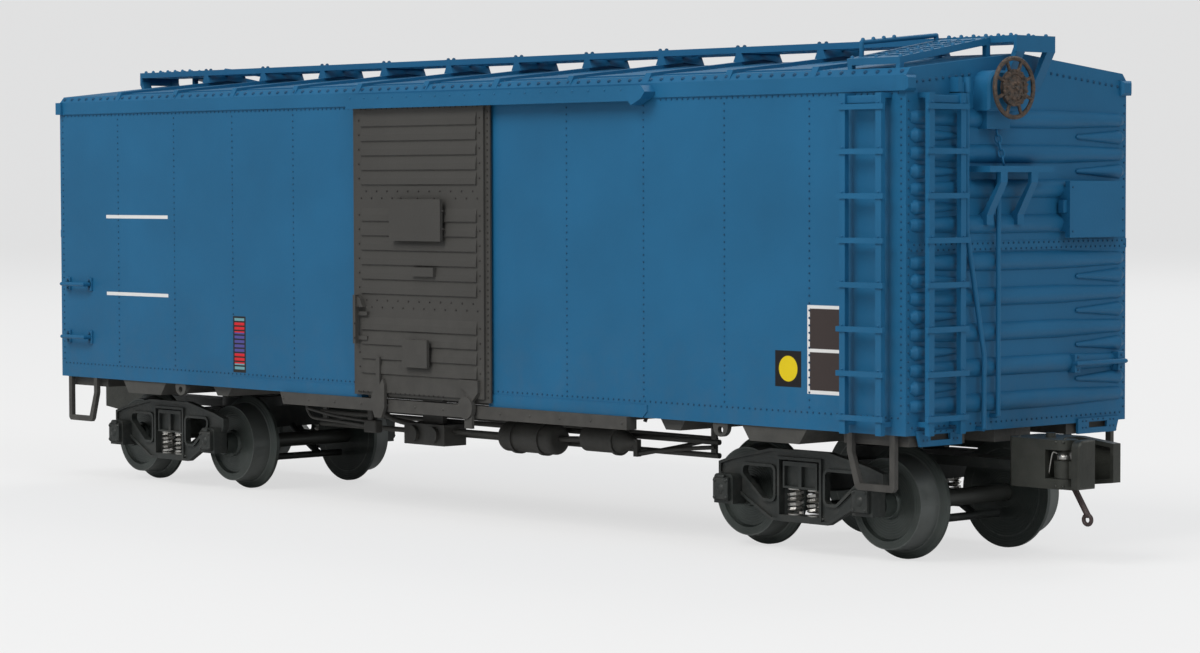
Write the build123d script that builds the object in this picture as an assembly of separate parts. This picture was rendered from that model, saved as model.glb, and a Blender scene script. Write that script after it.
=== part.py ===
# Gauge 0 model of a 40 foot steel boxcar, at the model's own size.
# Millimetres. +X is the end with the brake wheel, -Y is the near side, +Z is up.
# The origin is on the floor under the middle of the car, where the wheel flanges rest.
# A rise is a height above the rails, a drop is measured down and an inset inwards from an edge of the body.
from build123d import *
import math
import os

os.makedirs("parts", exist_ok=True)

# Clearances that the whole car shares
OVERRUN = 1.0           # how far a cutting tool runs past the face it cuts
RUNNING_GAP = 0.08      # radial play of an axle or pin in its hole
DOOR_GAP = 0.15         # play between a sliding door and the fascia behind it
TRACK_GAP = 0.4         # play of the door in and over its tracks
SEAT_GAP = 0.3          # play of a truck under its centre plate

# Wheels and axles
TREAD_R = 8.75
RIM_R = 8.25            # the tread is coned down to this at the outer face
FLANGE_DEPTH = 1.5
FLANGE_WIDTH = 1.5
WHEEL_BACK = 13.4       # from the car's middle to the back face of a wheel
WHEEL_FACE = 19.0       # and to its outer face
HUB_R = 2.6
RIM_WALL = 1.5
WEB_DISH = 0.7
AXLE_R = 1.6
JOURNAL_R = 0.95
BEARING_R = 2.4
BEARING_FACE = 21.6

# Car body
BODY_LENGTH = 260.0
BODY_WIDTH = 60.4
WALL = 1.6
SILL_RISE = 22.2        # underside of the sides
SIDE_HEIGHT = 59.8      # from there to the eave fascia
FASCIA_HEIGHT = 2.7
FASCIA_PROUD = 0.35
ROOF_LIP = 1.3          # from the top of the fascia to the roof's edge
ROOF_EDGE_INSET = 1.1
ROOF_CROWN = 3.1        # rise of the ridge above the roof's edge
ROOF_SKIN = 1.5
FLOOR_SKIN = 1.8
FLOOR_STEP = 0.6        # the floor plate sits this far up inside the sides
SILL_STRIP_HEIGHT = 2.4
SILL_STRIP_PROUD = 0.2
SILL_STRIP_END = 65.2

# Corrugated ends: a sheet of four ribs over a sheet of five, with short ones between at both sides
END_RIBS_LOWER = 5
END_RIBS_UPPER = 4
END_RIB_PITCH_SHARE = 0.1041        # of the side's height
END_RIB_FIRST_SHARE = 0.084         # lowest rib, above the sill
END_SEAM_SHARE = 0.0065             # extra space at the seam between the two sheets
END_RIB_HALF_SHARE = 0.27           # half a rib's height at the middle, of the pitch
END_RIB_TIP_SHARE = 0.195           # and at the corner
DART_HALF_SHARE = 0.22
DART_TIP_SHARE = 0.07
DART_TIP_DEPTH_SHARE = 0.6
END_RIB_PROUD = 1.1
DART_PROUD = 0.9
END_RIB_INSET = 1.0                 # from the body's corner to the blunt end of a rib
END_RIB_TAPER = 18.0                # length of its taper
DART_LENGTH = 13.6
SEAM_STRIP_WIDTH = 1.7
SEAM_STRIP_PROUD = 0.15
EAR_WIDTH = 2.0         # of the ears at the upper corners, in from the side
EAR_PROUD = 0.9

# Doors
DOOR_WIDTH = 42.8
DOOR_LIFT = 0.7         # from the underside of the car's sides to the door's foot
DOOR_TUCK = 0.3         # how far its top runs up over the fascia
DOOR_FLANGE_SKIN = 0.4
DOOR_FLANGE_WIDTH = 1.4
DOOR_PANEL_SKIN = 0.5
DOOR_LAP = 1.4          # how far the door laps over the opening on each side
DOOR_RIB_PITCH = 2.96
DOOR_RIB_PROUD = 0.35
DOOR_RIB_INSET = 2.0
DOOR_SECTION_LIFTS = (4.3, 20.6, 42.8)
DOOR_SECTION_RIBS = (4, 6, 5)
CLAPBOARD_SHARES = ((0.0, 0.0), (0.1, 1.0), (0.5, 0.8), (0.96, 0.0))   # up a rib, and out of its face
BOARD_BATTEN = 0.55     # battens that hold a card board off the door
CARD_SKIN = 0.7
PLACARD_WIDTH = 16.0
PLACARD_HEIGHT = 8.4
PLACARD_LIFT = 31.7
PLACARD_SHIFT = 0.6
CARD_WIDTH = 7.8
CARD_HEIGHT = 5.6
CARD_LIFT = 6.3
CARD_SHIFT = 0.4
PULL_WIDTH = 6.9
PULL_HEIGHT = 1.8
PULL_LIFT = 24.6
PULL_SHIFT = 2.2
PULL_PROUD = 1.0
LATCH_INSET = 1.9
LATCH_LOW = 10.5
LATCH_HEIGHT = 10.0
LATCH_ARM = 3.6
LATCH_BAR = 0.8
LATCH_PROUD = 0.6

# The door's hangers, which ride over the sill track
HANGER_SKIN = 0.7
SHOE_SHIFT = -12.4      # from the door's middle
SHOE_WIDTH = 4.2
SHOE_TOP = 8.0          # top of its strap, above the door's foot
SHOE_NECK = 2.4
SHOE_DROP = 4.4         # below the door's foot
ROLLER_SHIFT = 15.9
ROLLER_R = 2.2
ROLLER_FLANGE = 5.8
ROLLER_TOP = 4.4
ROLLER_DROP = 5.2
ROLLER_BAR = 1.2

# Tracks
TRACK_SKIN = 0.6
TRACK_HEIGHT = 2.9
TRACK_DROP = 0.6        # of its lip below the fascia
TRACK_LEFT = -21.6
TRACK_RIGHT = 62.8
STOP_LENGTH = 5.0
STOP_HEIGHT = 3.1
STOP_CUT = 1.2
SILL_TRACK_LEFT = -46.5
SILL_TRACK_RIGHT = 60.5
SILL_TRACK_DEPTH = 2.5
SILL_TRACK_CUT = 1.0

# Roof walk
BOARD_WIDTH = 10.6
BOARD_SKIN = 1.2
BOARD_GAP = 1.1         # between the caps on the roof and the board
BOARD_OVERHANG = 3.7
BOARD_RAIL = 1.0
TREAD_PITCH = 2.9
TREAD_WIDTH = 0.8
CAP_PITCH = 21.51
CAP_WIDTH = 1.5
CAP_HEIGHT = 0.7
SADDLE_FOOT = 3.6
SADDLE_HEAD = 1.4
PANEL_PROUD = 0.3       # the raised half of each roof panel
PANEL_EDGE = 1.6
APRON_HEIGHT = 1.7      # plate that hangs under each end of the board
APRON_SKIN = 0.7
STAY_Y = 4.1
STAY_SKIN = 0.8
STAY_DROP = 8.6
STAY_WIDTH = 2.2
LATERAL_INSET = 2.4
LATERAL_WIDTH = 12.4
LATERAL_CLEARANCE = 0.25
HANDHOLD_R = 0.43
HANDHOLD_RISE = 2.9

# Ladders, steps and grab irons
STILE_WIDTH = 1.35
STILE_SKIN = 1.0
RUNG_HEIGHT = 0.95
RUNG_SKIN = 0.6
RUNG_LAP = 0.6          # how far a rung runs past a stile
LADDER_STANDOFF = 1.75
LADDER_LOW = 2.4        # lowest rung, above the underside of the sides
LADDER_TOP = 0.3        # space between the stile's top and the fascia
RUNG_PITCH = 7.75
SIDE_LADDER_INSET = 3.3
SIDE_LADDER_WIDTH = 9.9
END_LADDER_INSET = 3.0
END_LADDER_WIDTH = 9.6
LADDER_FOOT = 0.9
STEP_INSET = 2.6
STEP_WIDTH = 11.3
STEP_DROP = 10.0
STEP_LEAN = 1.9
STEP_BAR = 1.2
STEP_SKIN = 0.95
STEP_KNEE_SHARE = 0.33  # of the drop, where the leaning leg bends
GRAB_R = 0.45
GRAB_STANDOFF = 1.9
GRAB_INSET = 3.2
GRAB_WIDTH = 8.6
GRAB_LIFTS = (9.2, 21.2)
END_GRAB_INSET = 2.6
END_GRAB_WIDTH = 13.6
END_GRAB_LIFT = 11.0
GRAB_FOOT_R = 0.8

# Brake gear on the end; drops are from the top of the fascia
BRAKE_WHEEL_R = 5.6
BRAKE_WHEEL_REACH = 5.4
BRAKE_WHEEL_Y = -8.0
BRAKE_WHEEL_DROP = 2.0
BRAKE_RIM_R = 0.42
BRAKE_RING_SHARE = 0.58
BRAKE_SPOKES = 8
BRAKE_WEB_SKIN = 0.7
HOUSING_NEAR = -12.6
HOUSING_FAR = -3.4
HOUSING_DEPTH = 3.6
HOUSING_DROP = 6.0
HOUSING_HEIGHT = 7.1
HOUSING_CURVE = 2.6
GEAR_NEAR = -11.3
GEAR_FAR = -5.1
GEAR_DEPTH = 2.0
GEAR_HEIGHT = 3.2
PLATFORM_NEAR = -14.0
PLATFORM_FAR = 3.4
PLATFORM_DEPTH = 5.1
PLATFORM_DROP = 15.7
PLATFORM_SKIN = 1.1
BRACKET_PLACES = (-10.2, -1.9)
BRACKET_DROP = 8.6
BRACKET_SKIN = 0.8
BRACKET_WIDTH = 1.8
BRACKET_LIP = 1.8       # straight down from its edge before it leans back
ROD_R = 0.45
ROD_STANDOFF = 1.65
CRANK_Y = -7.7
RETAINER_Y = -16.2
RETAINER_DROP = 2.8
RETAINER_HEIGHT = 2.6
RETAINER_WIDTH = 2.8
RETAINER_PIPE_SHIFT = 4.7
RETAINER_BEND_SHARES = (0.225, 0.593)    # of the side's height, where the pipe kinks
ROD_FOOT = 0.2
END_BOARD_INSET = 3.3
END_BOARD_WIDTH = 16.0
END_BOARD_DROP = 28.6
END_BOARD_HEIGHT = 10.2
END_BOARD_SKIN = 1.1
END_BOARD_STANDOFF = 1.5

# Underframe; drops are below the sides
CENTRE_SILL_WIDTH = 10.0
CENTRE_SILL_DROP = 2.4
TRUCK_INSET = 32.1
BOLSTER_DROP = 2.8
BOLSTER_HALF_TOP = 8.2
BOLSTER_HALF_LOW = 6.2
CENTRE_PLATE_R = 3.4
BEARER_SHARES = (-0.719, -0.45, 0.45, 0.719)    # of the distance to the truck centres
BEARER_HALF_TOP = 3.4
BEARER_HALF_LOW = 1.9
BEARER_DROP = 2.1
PAD_LENGTH = 15.4
PAD_INNER = 14.0
PAD_DROP = 2.0
PAD_INSET = 0.7
RING_R = 1.9
RING_BORE_R = 0.7
RING_SKIN = 1.0
RING_INSET = 45.8
SLOT_BRACKET_INSET = 2.3
SLOT_BRACKET_WIDTH = 11.9
SLOT_BRACKET_DROP = 2.0
SLOT_BRACKET_LIFT = 0.8
SLOT_BRACKET_DEPTH = 0.5
SLOT_SHARES = (0.3, 0.74, 0.36, 0.76)      # of the bracket's width and height
GEAR_Y = -12.0
RESERVOIR_R = 3.05
RESERVOIR_LEFT_SHARE = 0.045    # of the distance to the truck centres
RESERVOIR_LENGTH = 16.2
RESERVOIR_RISE = 14.6
RESERVOIR_BAND = 1.1
RESERVOIR_BAND_PROUD = 0.35
VALVE_LEFT_SHARE = -0.2554
VALVE_LENGTH = 13.0
VALVE_WIDTH = 6.0
VALVE_RISE = 11.6
VALVE_HEIGHT = 4.4
VALVE_CAP_R = 1.7
CYLINDER_R = 2.5
CYLINDER_LEFT_SHARE = 0.296
CYLINDER_LENGTH = 9.5
CYLINDER_RISE = 15.4
CYLINDER_NOSE = 4.6
CYLINDER_FLANGE = 0.8
LEVER_DROP = 2.8
PIPE_R = 0.55
PIPE_Y = -8.0
PIPE_RISES = (13.6, 16.2)
PIPE_REACH_SHARE = 0.633
HANGER_WIDTH = 1.4

# Trucks; rises are above the rails, other places are from the truck's centre
AXLE_SPACING = 34.9
FRAME_INNER = 22.0
FRAME_SKIN = 1.0
FRAME_LIP = 0.45        # how far the frame's edges stand out from its web
FRAME_EDGE = 0.55
FRAME_TOP = 17.6
FRAME_FOOT = 4.4
FRAME_SHOULDER = 7.2
FRAME_TOP_AT_AXLE = 15.5
FRAME_TIP = 3.2         # from the axle to the frame's tip
BOX_FACE = 26.0
BOX_HALF = 2.45
BOX_LOW = 6.9
BOX_TOP = 12.4
BOX_LID_SKIN = 0.6
BOX_CURVE = 0.9
ARM_LIFT = 1.7          # from the box's foot to the underside of the arm that carries it
PILLAR_HALF = 5.0
FOOT_HALF = 7.2
WINDOW_INNER = 6.5
WINDOW_OUTER = 14.3
WINDOW_TOP = 14.1
WINDOW_LOW = 8.3
WINDOW_CURVE = 0.8
WINDOW_SIDE = 1.5       # height of its outer side
WINDOW_FOOT = 2.6       # width of its foot
CHORD_WIDTH = 2.1
TRUCK_BOLSTER_HALF = 4.3
TRUCK_BOLSTER_LOW = 10.5
TRUCK_BOLSTER_TOP = 15.4
BOLSTER_END = 23.2
BOLSTER_POCKET = 0.8
SPRING_R = 1.45
SPRING_WIRE = 0.5
SPRING_TURNS = 4.5
SPRING_SIDES = 8        # straight lengths in a turn
SPRING_SEAT = 5.6
SPRING_OFFSET = 2.45
SPRING_Y = 21.7

# Coupler; reaches are from the end of the body
COUPLER_AXIS_RISE = 16.6
SHANK_WIDTH = 6.0
SHANK_DEPTH = 3.6
HEAD_REACH = 1.3
HEAD_LENGTH = 9.3       # to where the mouth and the knuckle's slot begin
HEAD_LOW = 12.3
HEAD_TOP = 21.0
HEAD_HALF = 5.5
HEAD_CUT = 1.6
GUARD_LENGTH = 8.0
GUARD_WIDTH = 2.0
GUARD_SKIN = 0.7
GUARD_TAPER = 0.9       # how much lower its end is, above and below
LUG_R = 2.3
LUG_SKIN = 1.8
LOCK_R = 0.9
LOCK_HEIGHT = 0.8
KNUCKLE_PIN_REACH = 13.2
KNUCKLE_PIN_Y = -3.2
KNUCKLE_HUB_R = 1.9
KNUCKLE_HUB_SHARE = 0.62    # of the height between the lugs
KNUCKLE_PIN_R = 0.8
KNUCKLE_LIFT = 0.2      # from the head's underside to the plate's foot
KNUCKLE_FRONT = 5.4     # front face, from the pin
KNUCKLE_PLATE = 1.7
KNUCKLE_NEAR = -2.8     # from the pin to the knuckle's outer side
KNUCKLE_FAR = 1.9       # and to its nose
KNUCKLE_CURVE = 0.3
KNUCKLE_CORNER = 1.5
LEVER_R = 0.55
LEVER_REACH = 12.6
LEVER_LEAN = 3.1
LEVER_LENGTH = 4.7
LEVER_EYE_R = 0.85

HALF_L = BODY_LENGTH / 2
HALF_W = BODY_WIDTH / 2
SIDE_PLANE = Plane.XZ           # its normal is -Y
END_PLANE = Plane.YZ            # its normal is +X
UPRIGHT = (Align.CENTER, Align.CENTER, Align.MIN)


def z_at(rise):
    """Height above the floor of something this far above the rails."""
    return FLANGE_DEPTH + rise


def block(x0, x1, y0, y1, z0, z1):
    """A box from one corner to the other."""
    return Pos((x0 + x1) / 2, (y0 + y1) / 2, (z0 + z1) / 2) * Box(x1 - x0, y1 - y0, z1 - z0)


def bar(start, end, radius):
    """A round bar from one point to another."""
    run = Vector(*end) - Vector(*start)
    return Plane(origin=start, z_dir=run) * Cylinder(radius, run.length, align=UPRIGHT)


def disc(x, y, z, radius, height):
    """A round plate or post that stands on a height."""
    return Pos(x, y, z) * Cylinder(radius, height, align=UPRIGHT)


def bent_bar(points, radius):
    """A round bar through a few points, mitred where it turns."""
    path = Polyline(*points)
    section = Plane(origin=path @ 0, z_dir=path % 0) * Circle(radius)
    return sweep(section, path=path, transition=Transition.RIGHT)


def cross_pin(x, y0, y1, z, radius):
    """A round piece that lies along Y."""
    return bar((x, y0, z), (x, y1, z), radius)


def prism(points, start, depth, plane):
    """A flat outline made into a solid, from start to start + depth along the plane's normal."""
    face = make_face(Polyline(*points, close=True))
    return plane.offset(start) * extrude(face, depth)


def side_prism(points, y_outer, y_inner):
    """An outline in X and Z, made into a solid between two places along Y."""
    return prism(points, -y_inner, y_inner - y_outer, SIDE_PLANE)


def half_turn(shape):
    """The same thing at the diagonally opposite place of the car."""
    return shape.rotate(Axis.Z, 180)


def save(name, *shapes):
    """Write one node, made of one or more solids."""
    whole = shapes[0] if len(shapes) == 1 else Compound(children=list(shapes))
    export_step(whole, f"parts/{name}.step")


side_low = z_at(SILL_RISE)
side_top = side_low + SIDE_HEIGHT
eave_z = side_top + FASCIA_HEIGHT
roof_edge_z = eave_z + ROOF_LIP
ridge_z = roof_edge_z + ROOF_CROWN
roof_edge_y = HALF_W - ROOF_EDGE_INSET
fascia_y = -HALF_W - FASCIA_PROUD
floor_z = side_low + FLOOR_STEP
door_z = side_low + DOOR_LIFT
door_top_z = side_top + DOOR_TUCK
opening_half = DOOR_WIDTH / 2 - DOOR_LAP
opening_top = door_top_z - DOOR_LAP
truck_x = HALF_L - TRUCK_INSET
reservoir_left = truck_x * RESERVOIR_LEFT_SHARE
valve_left = truck_x * VALVE_LEFT_SHARE
cylinder_left = truck_x * CYLINDER_LEFT_SHARE
pipe_reach = truck_x * PIPE_REACH_SHARE


def roof_z(y):
    """Height of the roof's top surface at a distance y from the middle."""
    return ridge_z - ROOF_CROWN * abs(y) / roof_edge_y


# Side walls: two panels beside each door opening, and the header over the door

def side_panel(left, right, strip_left, strip_right):
    """A stretch of the near side from the sill to the eave, with its fascia and the strip along its foot."""
    panel = block(left, right, -HALF_W, -HALF_W + WALL, side_low, eave_z)
    panel += block(left, right, fascia_y, -HALF_W, side_top, eave_z)
    top = side_low + SILL_STRIP_HEIGHT
    cut = SILL_STRIP_HEIGHT / 2
    if strip_left < 0:
        strip = [(strip_left + cut, side_low), (strip_right, side_low), (strip_right, top), (strip_left, top),
                 (strip_left, side_low + cut)]
    else:
        strip = [(strip_left, side_low), (strip_right - cut, side_low), (strip_right, side_low + cut),
                 (strip_right, top), (strip_left, top)]
    return panel + side_prism(strip, -HALF_W - SILL_STRIP_PROUD, -HALF_W)


side_left = side_panel(-HALF_L + WALL, -opening_half, -SILL_STRIP_END, -opening_half)
side_right = side_panel(opening_half, HALF_L - WALL, opening_half, SILL_STRIP_END)
header = block(-opening_half, opening_half, -HALF_W, -HALF_W + WALL, opening_top, eave_z)
header += block(-opening_half, opening_half, fascia_y, -HALF_W, side_top, eave_z)
for side, turn in (("near", lambda s: s), ("far", half_turn)):
    save(f"side_panel_left_{side}", turn(side_left))
    save(f"side_panel_right_{side}", turn(side_right))
    save(f"door_header_{side}", turn(header))

# Ends: a gabled sheet each, pressed into ribs that taper towards the corners

rib_pitch = SIDE_HEIGHT * END_RIB_PITCH_SHARE


def arched(half, proud, y):
    """The arched section of a rib at y, closed by the sheet's face."""
    plane = Plane(origin=(HALF_L, y, 0), x_dir=(1, 0, 0), z_dir=(0, -1, 0))
    edge = ThreePointArc((0, -half), (proud, 0), (0, half)) + Line((0, half), (0, -half))
    return plane * make_face(edge)


def rib(sections, height):
    """A rib through a few arched sections, each given as half its height, its depth and its place along Y."""
    faces = [arched(half, proud, y) for half, proud, y in sections]
    return Pos(0, 0, height) * loft(faces, ruled=True)


def end_ribs():
    """All ribs of the end at +X: long ones across, short ones from each corner between them."""
    blunt = HALF_W - END_RIB_INSET
    straight = blunt - END_RIB_TAPER
    half, tip = rib_pitch * END_RIB_HALF_SHARE, rib_pitch * END_RIB_TIP_SHARE
    heights = []
    first = side_low + SIDE_HEIGHT * END_RIB_FIRST_SHARE
    for group, count in ((0, END_RIBS_LOWER), (1, END_RIBS_UPPER)):
        for step in range(count):
            heights.append(first + (group * END_RIBS_LOWER + step) * rib_pitch
                           + group * SIDE_HEIGHT * END_SEAM_SHARE)
    ribs = []
    edge_depth = END_RIB_PROUD * tip / half
    for height in heights:
        ribs.append(rib([(tip * tip / half, edge_depth / 2, -blunt), (tip, edge_depth, -blunt + tip),
                         (half, END_RIB_PROUD, -straight), (half, END_RIB_PROUD, straight),
                         (tip, edge_depth, blunt - tip), (tip * tip / half, edge_depth / 2, blunt)], height))
    dart, point = rib_pitch * DART_HALF_SHARE, rib_pitch * DART_TIP_SHARE
    for low, high in zip(heights, heights[1:]):
        if high - low > rib_pitch + SIDE_HEIGHT * END_SEAM_SHARE / 2:
            continue
        middle = (low + high) / 2
        one = rib([(point / 2, DART_PROUD * point / dart, blunt - DART_LENGTH),
                   (point, DART_PROUD * DART_TIP_DEPTH_SHARE, blunt - DART_LENGTH + point),
                   (dart, DART_PROUD, blunt - tip), (dart / 2, DART_PROUD / 2, blunt)], middle)
        ribs += [one, one.mirror(Plane.XZ)]
    seam = (heights[END_RIBS_LOWER - 1] + heights[END_RIBS_LOWER]) / 2 - SEAM_STRIP_WIDTH / 3
    ribs.append(block(HALF_L, HALF_L + SEAM_STRIP_PROUD, -HALF_W, HALF_W, seam - SEAM_STRIP_WIDTH / 2,
                      seam + SEAM_STRIP_WIDTH / 2))
    return ribs


def end_wall():
    """The end at +X."""
    outline = [(-HALF_W, side_low), (HALF_W, side_low), (HALF_W, eave_z),
               (roof_edge_y, roof_edge_z - ROOF_SKIN), (0, ridge_z - ROOF_SKIN),
               (-roof_edge_y, roof_edge_z - ROOF_SKIN), (-HALF_W, eave_z)]
    sheet = prism(outline, HALF_L - WALL, WALL, END_PLANE)
    ear = block(HALF_L - WALL, HALF_L + EAR_PROUD, HALF_W - EAR_WIDTH, HALF_W + EAR_PROUD, side_top, eave_z)
    ear = chamfer(ear.faces().sort_by(Axis.X)[-1].edges(), EAR_PROUD / 2)
    return sheet.fuse(ear, ear.mirror(Plane.XZ), *end_ribs())


def against_end(shape):
    """A piece on the end, cut to fit round the ribs of the sheet behind it."""
    return (shape - end_sheet).solids().sort_by(SortBy.VOLUME)[-1]


end_sheet = end_wall()
save("end_wall_brake", end_sheet)
save("end_wall_plain", half_turn(end_sheet))

# Roof: a thin gabled shell with a cap over every seam and one half of each panel raised

cap_count = int((HALF_L - LATERAL_INSET - LATERAL_WIDTH - CAP_WIDTH) // CAP_PITCH)
cap_places = [step * CAP_PITCH for step in range(-cap_count, cap_count + 1)]


def gable(low, lift):
    """Outline of the roof's section, its lower corners at height low."""
    return [(-HALF_W, low), (-roof_edge_y, roof_edge_z + lift), (0, ridge_z + lift),
            (roof_edge_y, roof_edge_z + lift), (HALF_W, low)]


def roof():
    inner_half = HALF_W - WALL
    room = prism([(-inner_half, eave_z - OVERRUN), (-inner_half, eave_z), (0, ridge_z - ROOF_SKIN),
                  (inner_half, eave_z), (inner_half, eave_z - OVERRUN)],
                 -HALF_L + WALL, BODY_LENGTH - 2 * WALL, END_PLANE)
    shell = prism(gable(eave_z, 0), -HALF_L, BODY_LENGTH, END_PLANE)
    caps = [prism(gable(eave_z, CAP_HEIGHT), place - CAP_WIDTH / 2, CAP_WIDTH, END_PLANE)
            for place in cap_places]
    columns = []
    for left, right in zip(cap_places, cap_places[1:]):
        x0, x1 = left + CAP_WIDTH / 2 + PANEL_EDGE, right - CAP_WIDTH / 2 - PANEL_EDGE
        y0, y1 = BOARD_WIDTH / 2, roof_edge_y - PANEL_EDGE
        corner = make_face(Polyline((x0, -y1), (x1, -y1), (x1, -y0), close=True))
        column = Pos(0, 0, eave_z) * extrude(corner, ridge_z - eave_z + OVERRUN)
        columns += [column, half_turn(column)]
    raised = prism(gable(eave_z, PANEL_PROUD), -HALF_L, BODY_LENGTH, END_PLANE)
    panels = [raised & column for column in columns]
    shell = shell.fuse(*caps, *panels) - room
    ends = prism([(-HALF_W, eave_z - OVERRUN), (-HALF_W, eave_z), (-roof_edge_y, roof_edge_z - ROOF_SKIN),
                  (0, ridge_z - ROOF_SKIN), (roof_edge_y, roof_edge_z - ROOF_SKIN), (HALF_W, eave_z),
                  (HALF_W, eave_z - OVERRUN)], -HALF_L - OVERRUN, BODY_LENGTH + 2 * OVERRUN, END_PLANE)
    middle = block(-HALF_L + WALL, HALF_L - WALL, -HALF_W - OVERRUN, HALF_W + OVERRUN, side_top, ridge_z)
    return shell - (ends - middle)


save("roof", roof())

# Running board: an open tread between rails, on a saddle at every cap, with an apron and stays at each end
board_low = ridge_z + CAP_HEIGHT + BOARD_GAP
board_top = board_low + BOARD_SKIN
board_end = HALF_L + BOARD_OVERHANG


def tread(length, width):
    """A flat walk of this length along X, centred on the origin: rails along it, bars across it."""
    slot_length = TREAD_PITCH - TREAD_WIDTH
    slot_width = (width - 3 * BOARD_RAIL) / 2
    count = int((length - 2 * BOARD_RAIL + TREAD_WIDTH) // TREAD_PITCH)
    slots = [Pos((step - (count - 1) / 2) * TREAD_PITCH, sign * (slot_width + BOARD_RAIL) / 2)
             * Rectangle(slot_length, slot_width) for step in range(count) for sign in (-1, 1)]
    return extrude(Rectangle(length, width) - slots, BOARD_SKIN)


def running_board():
    board = Pos(0, 0, board_low) * tread(2 * board_end, BOARD_WIDTH)
    half = BOARD_WIDTH / 2
    gables = []
    for place in cap_places:
        foot, head = SADDLE_FOOT / 2, SADDLE_HEAD / 2
        outline = [(place - foot, roof_z(half)), (place + foot, roof_z(half)), (place + head, board_low),
                   (place - head, board_low)]
        saddle = side_prism(outline, -half, half)
        gables.append(saddle)
    board = board.fuse(*gables)
    board -= prism(gable(side_top, CAP_HEIGHT), -HALF_L, BODY_LENGTH, END_PLANE)
    for sign in (-1, 1):
        x0, x1 = sorted((sign * (board_end - APRON_SKIN), sign * board_end))
        board += block(x0, x1, -half, half, board_low - APRON_HEIGHT, board_low)
        for y in (-STAY_Y, STAY_Y):
            low = board_low - STAY_DROP
            stay = [(sign * board_end, board_low), (sign * board_end, board_low - APRON_HEIGHT),
                    (sign * HALF_L, low), (sign * HALF_L, low + 2 * STAY_SKIN),
                    (sign * (board_end - STAY_SKIN), board_low - APRON_HEIGHT + STAY_SKIN),
                    (sign * (board_end - STAY_SKIN), board_low)]
            board += side_prism(stay, y - STAY_WIDTH / 2, y + STAY_WIDTH / 2)
    return board


def lateral_board():
    """The short walk from the running board down to the near corner over the ladders, with its handhold."""
    inner, outer = -BOARD_WIDTH / 2, -roof_edge_y
    foot = roof_z(outer) + CAP_HEIGHT
    head = board_low - LATERAL_CLEARANCE
    run = math.hypot(outer - inner, head - foot)
    slope = math.degrees(math.atan2(head - foot, inner - outer))
    middle_x = HALF_L - LATERAL_INSET - LATERAL_WIDTH / 2
    walk = Pos(middle_x, (inner + outer) / 2, (foot + head) / 2) * Rot(slope, 0, 0) * Rot(0, 0, 90) * tread(
        run, LATERAL_WIDTH)
    x = middle_x - LATERAL_WIDTH / 2 + BOARD_RAIL / 2
    for edge in (middle_x - LATERAL_WIDTH / 2, middle_x + LATERAL_WIDTH / 2 - BOARD_RAIL):
        for y in (outer, inner - BOARD_RAIL):
            high = foot + (head - foot) * (y + BOARD_RAIL / 2 - outer) / (inner - outer) + BOARD_SKIN / 2
            far = y + BOARD_RAIL
            leg = [(y, roof_z(y)), (far, roof_z(far)), (far, high), (y, high)]
            walk += prism(leg, edge, BOARD_RAIL, END_PLANE)
    ends = []
    for y, z, rise in ((outer + LATERAL_WIDTH / 4, foot, HANDHOLD_RISE),
                       (inner - BOARD_RAIL, head, HANDHOLD_RISE / 4)):
        top = (x, y, z + BOARD_SKIN + rise)
        walk += bar((x, y, z + BOARD_SKIN / 2), top, HANDHOLD_R)
        ends.append(top)
    for end in ends:
        walk += Pos(*end) * Sphere(HANDHOLD_R)
    return walk + bar(*ends, HANDHOLD_R)


lateral = lateral_board()
save("lateral_boards", lateral, half_turn(lateral))

# Centre sill, and the bolsters that carry the truck pivots
sill_low = side_low - CENTRE_SILL_DROP
sill_half = CENTRE_SILL_WIDTH / 2
save("centre_sill", block(-HALF_L + WALL, HALF_L - WALL, -sill_half, sill_half, sill_low, floor_z))


def cross_beam(half_top, half_low, drop, reach):
    """A beam across the car under the floor, narrower below and cut round the centre sill."""
    low = side_low - drop
    arm = side_prism([(-half_low, low), (half_low, low), (half_top, side_low), (-half_top, side_low)],
                     -reach, reach)
    riser = block(-half_top, half_top, -HALF_W + WALL, HALF_W - WALL, side_low, floor_z)
    return arm + riser - block(-half_top, half_top, -sill_half, sill_half, sill_low, floor_z)


def body_bolster():
    """The beam over a truck, with the centre plate under it."""
    plate_low = z_at(FRAME_TOP) + SEAT_GAP
    beam = cross_beam(BOLSTER_HALF_TOP, BOLSTER_HALF_LOW, BOLSTER_DROP, HALF_W - FASCIA_PROUD)
    return beam, disc(0, 0, plate_low, CENTRE_PLATE_R, sill_low - plate_low)


bolster = [Pos(truck_x, 0, 0) * piece for piece in body_bolster()]
save("bolster_brake", *bolster)
save("bolster_plain", *[half_turn(piece) for piece in bolster])

# Sliding door: a flange all round, a panel raised on it, and three ribbed sections with flat seams between
door_back = fascia_y - DOOR_GAP
flange_y = door_back - DOOR_FLANGE_SKIN
door_face = flange_y - DOOR_PANEL_SKIN
rib_face = door_face - DOOR_RIB_PROUD
panel_half = DOOR_WIDTH / 2 - DOOR_FLANGE_WIDTH


def ribbed_section(lift, count):
    """A stack of ribs like clapboards, each thick at its foot and thin at its top."""
    low = door_z + lift
    points = [(door_face + DOOR_PANEL_SKIN / 2, low)]
    for step in range(count):
        for up, out in CLAPBOARD_SHARES:
            points.append((door_face - out * DOOR_RIB_PROUD, low + (step + up) * DOOR_RIB_PITCH))
    points.append((door_face + DOOR_PANEL_SKIN / 2, points[-1][1]))
    half = panel_half - DOOR_RIB_INSET
    return prism(points, -half, 2 * half, END_PLANE)


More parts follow.
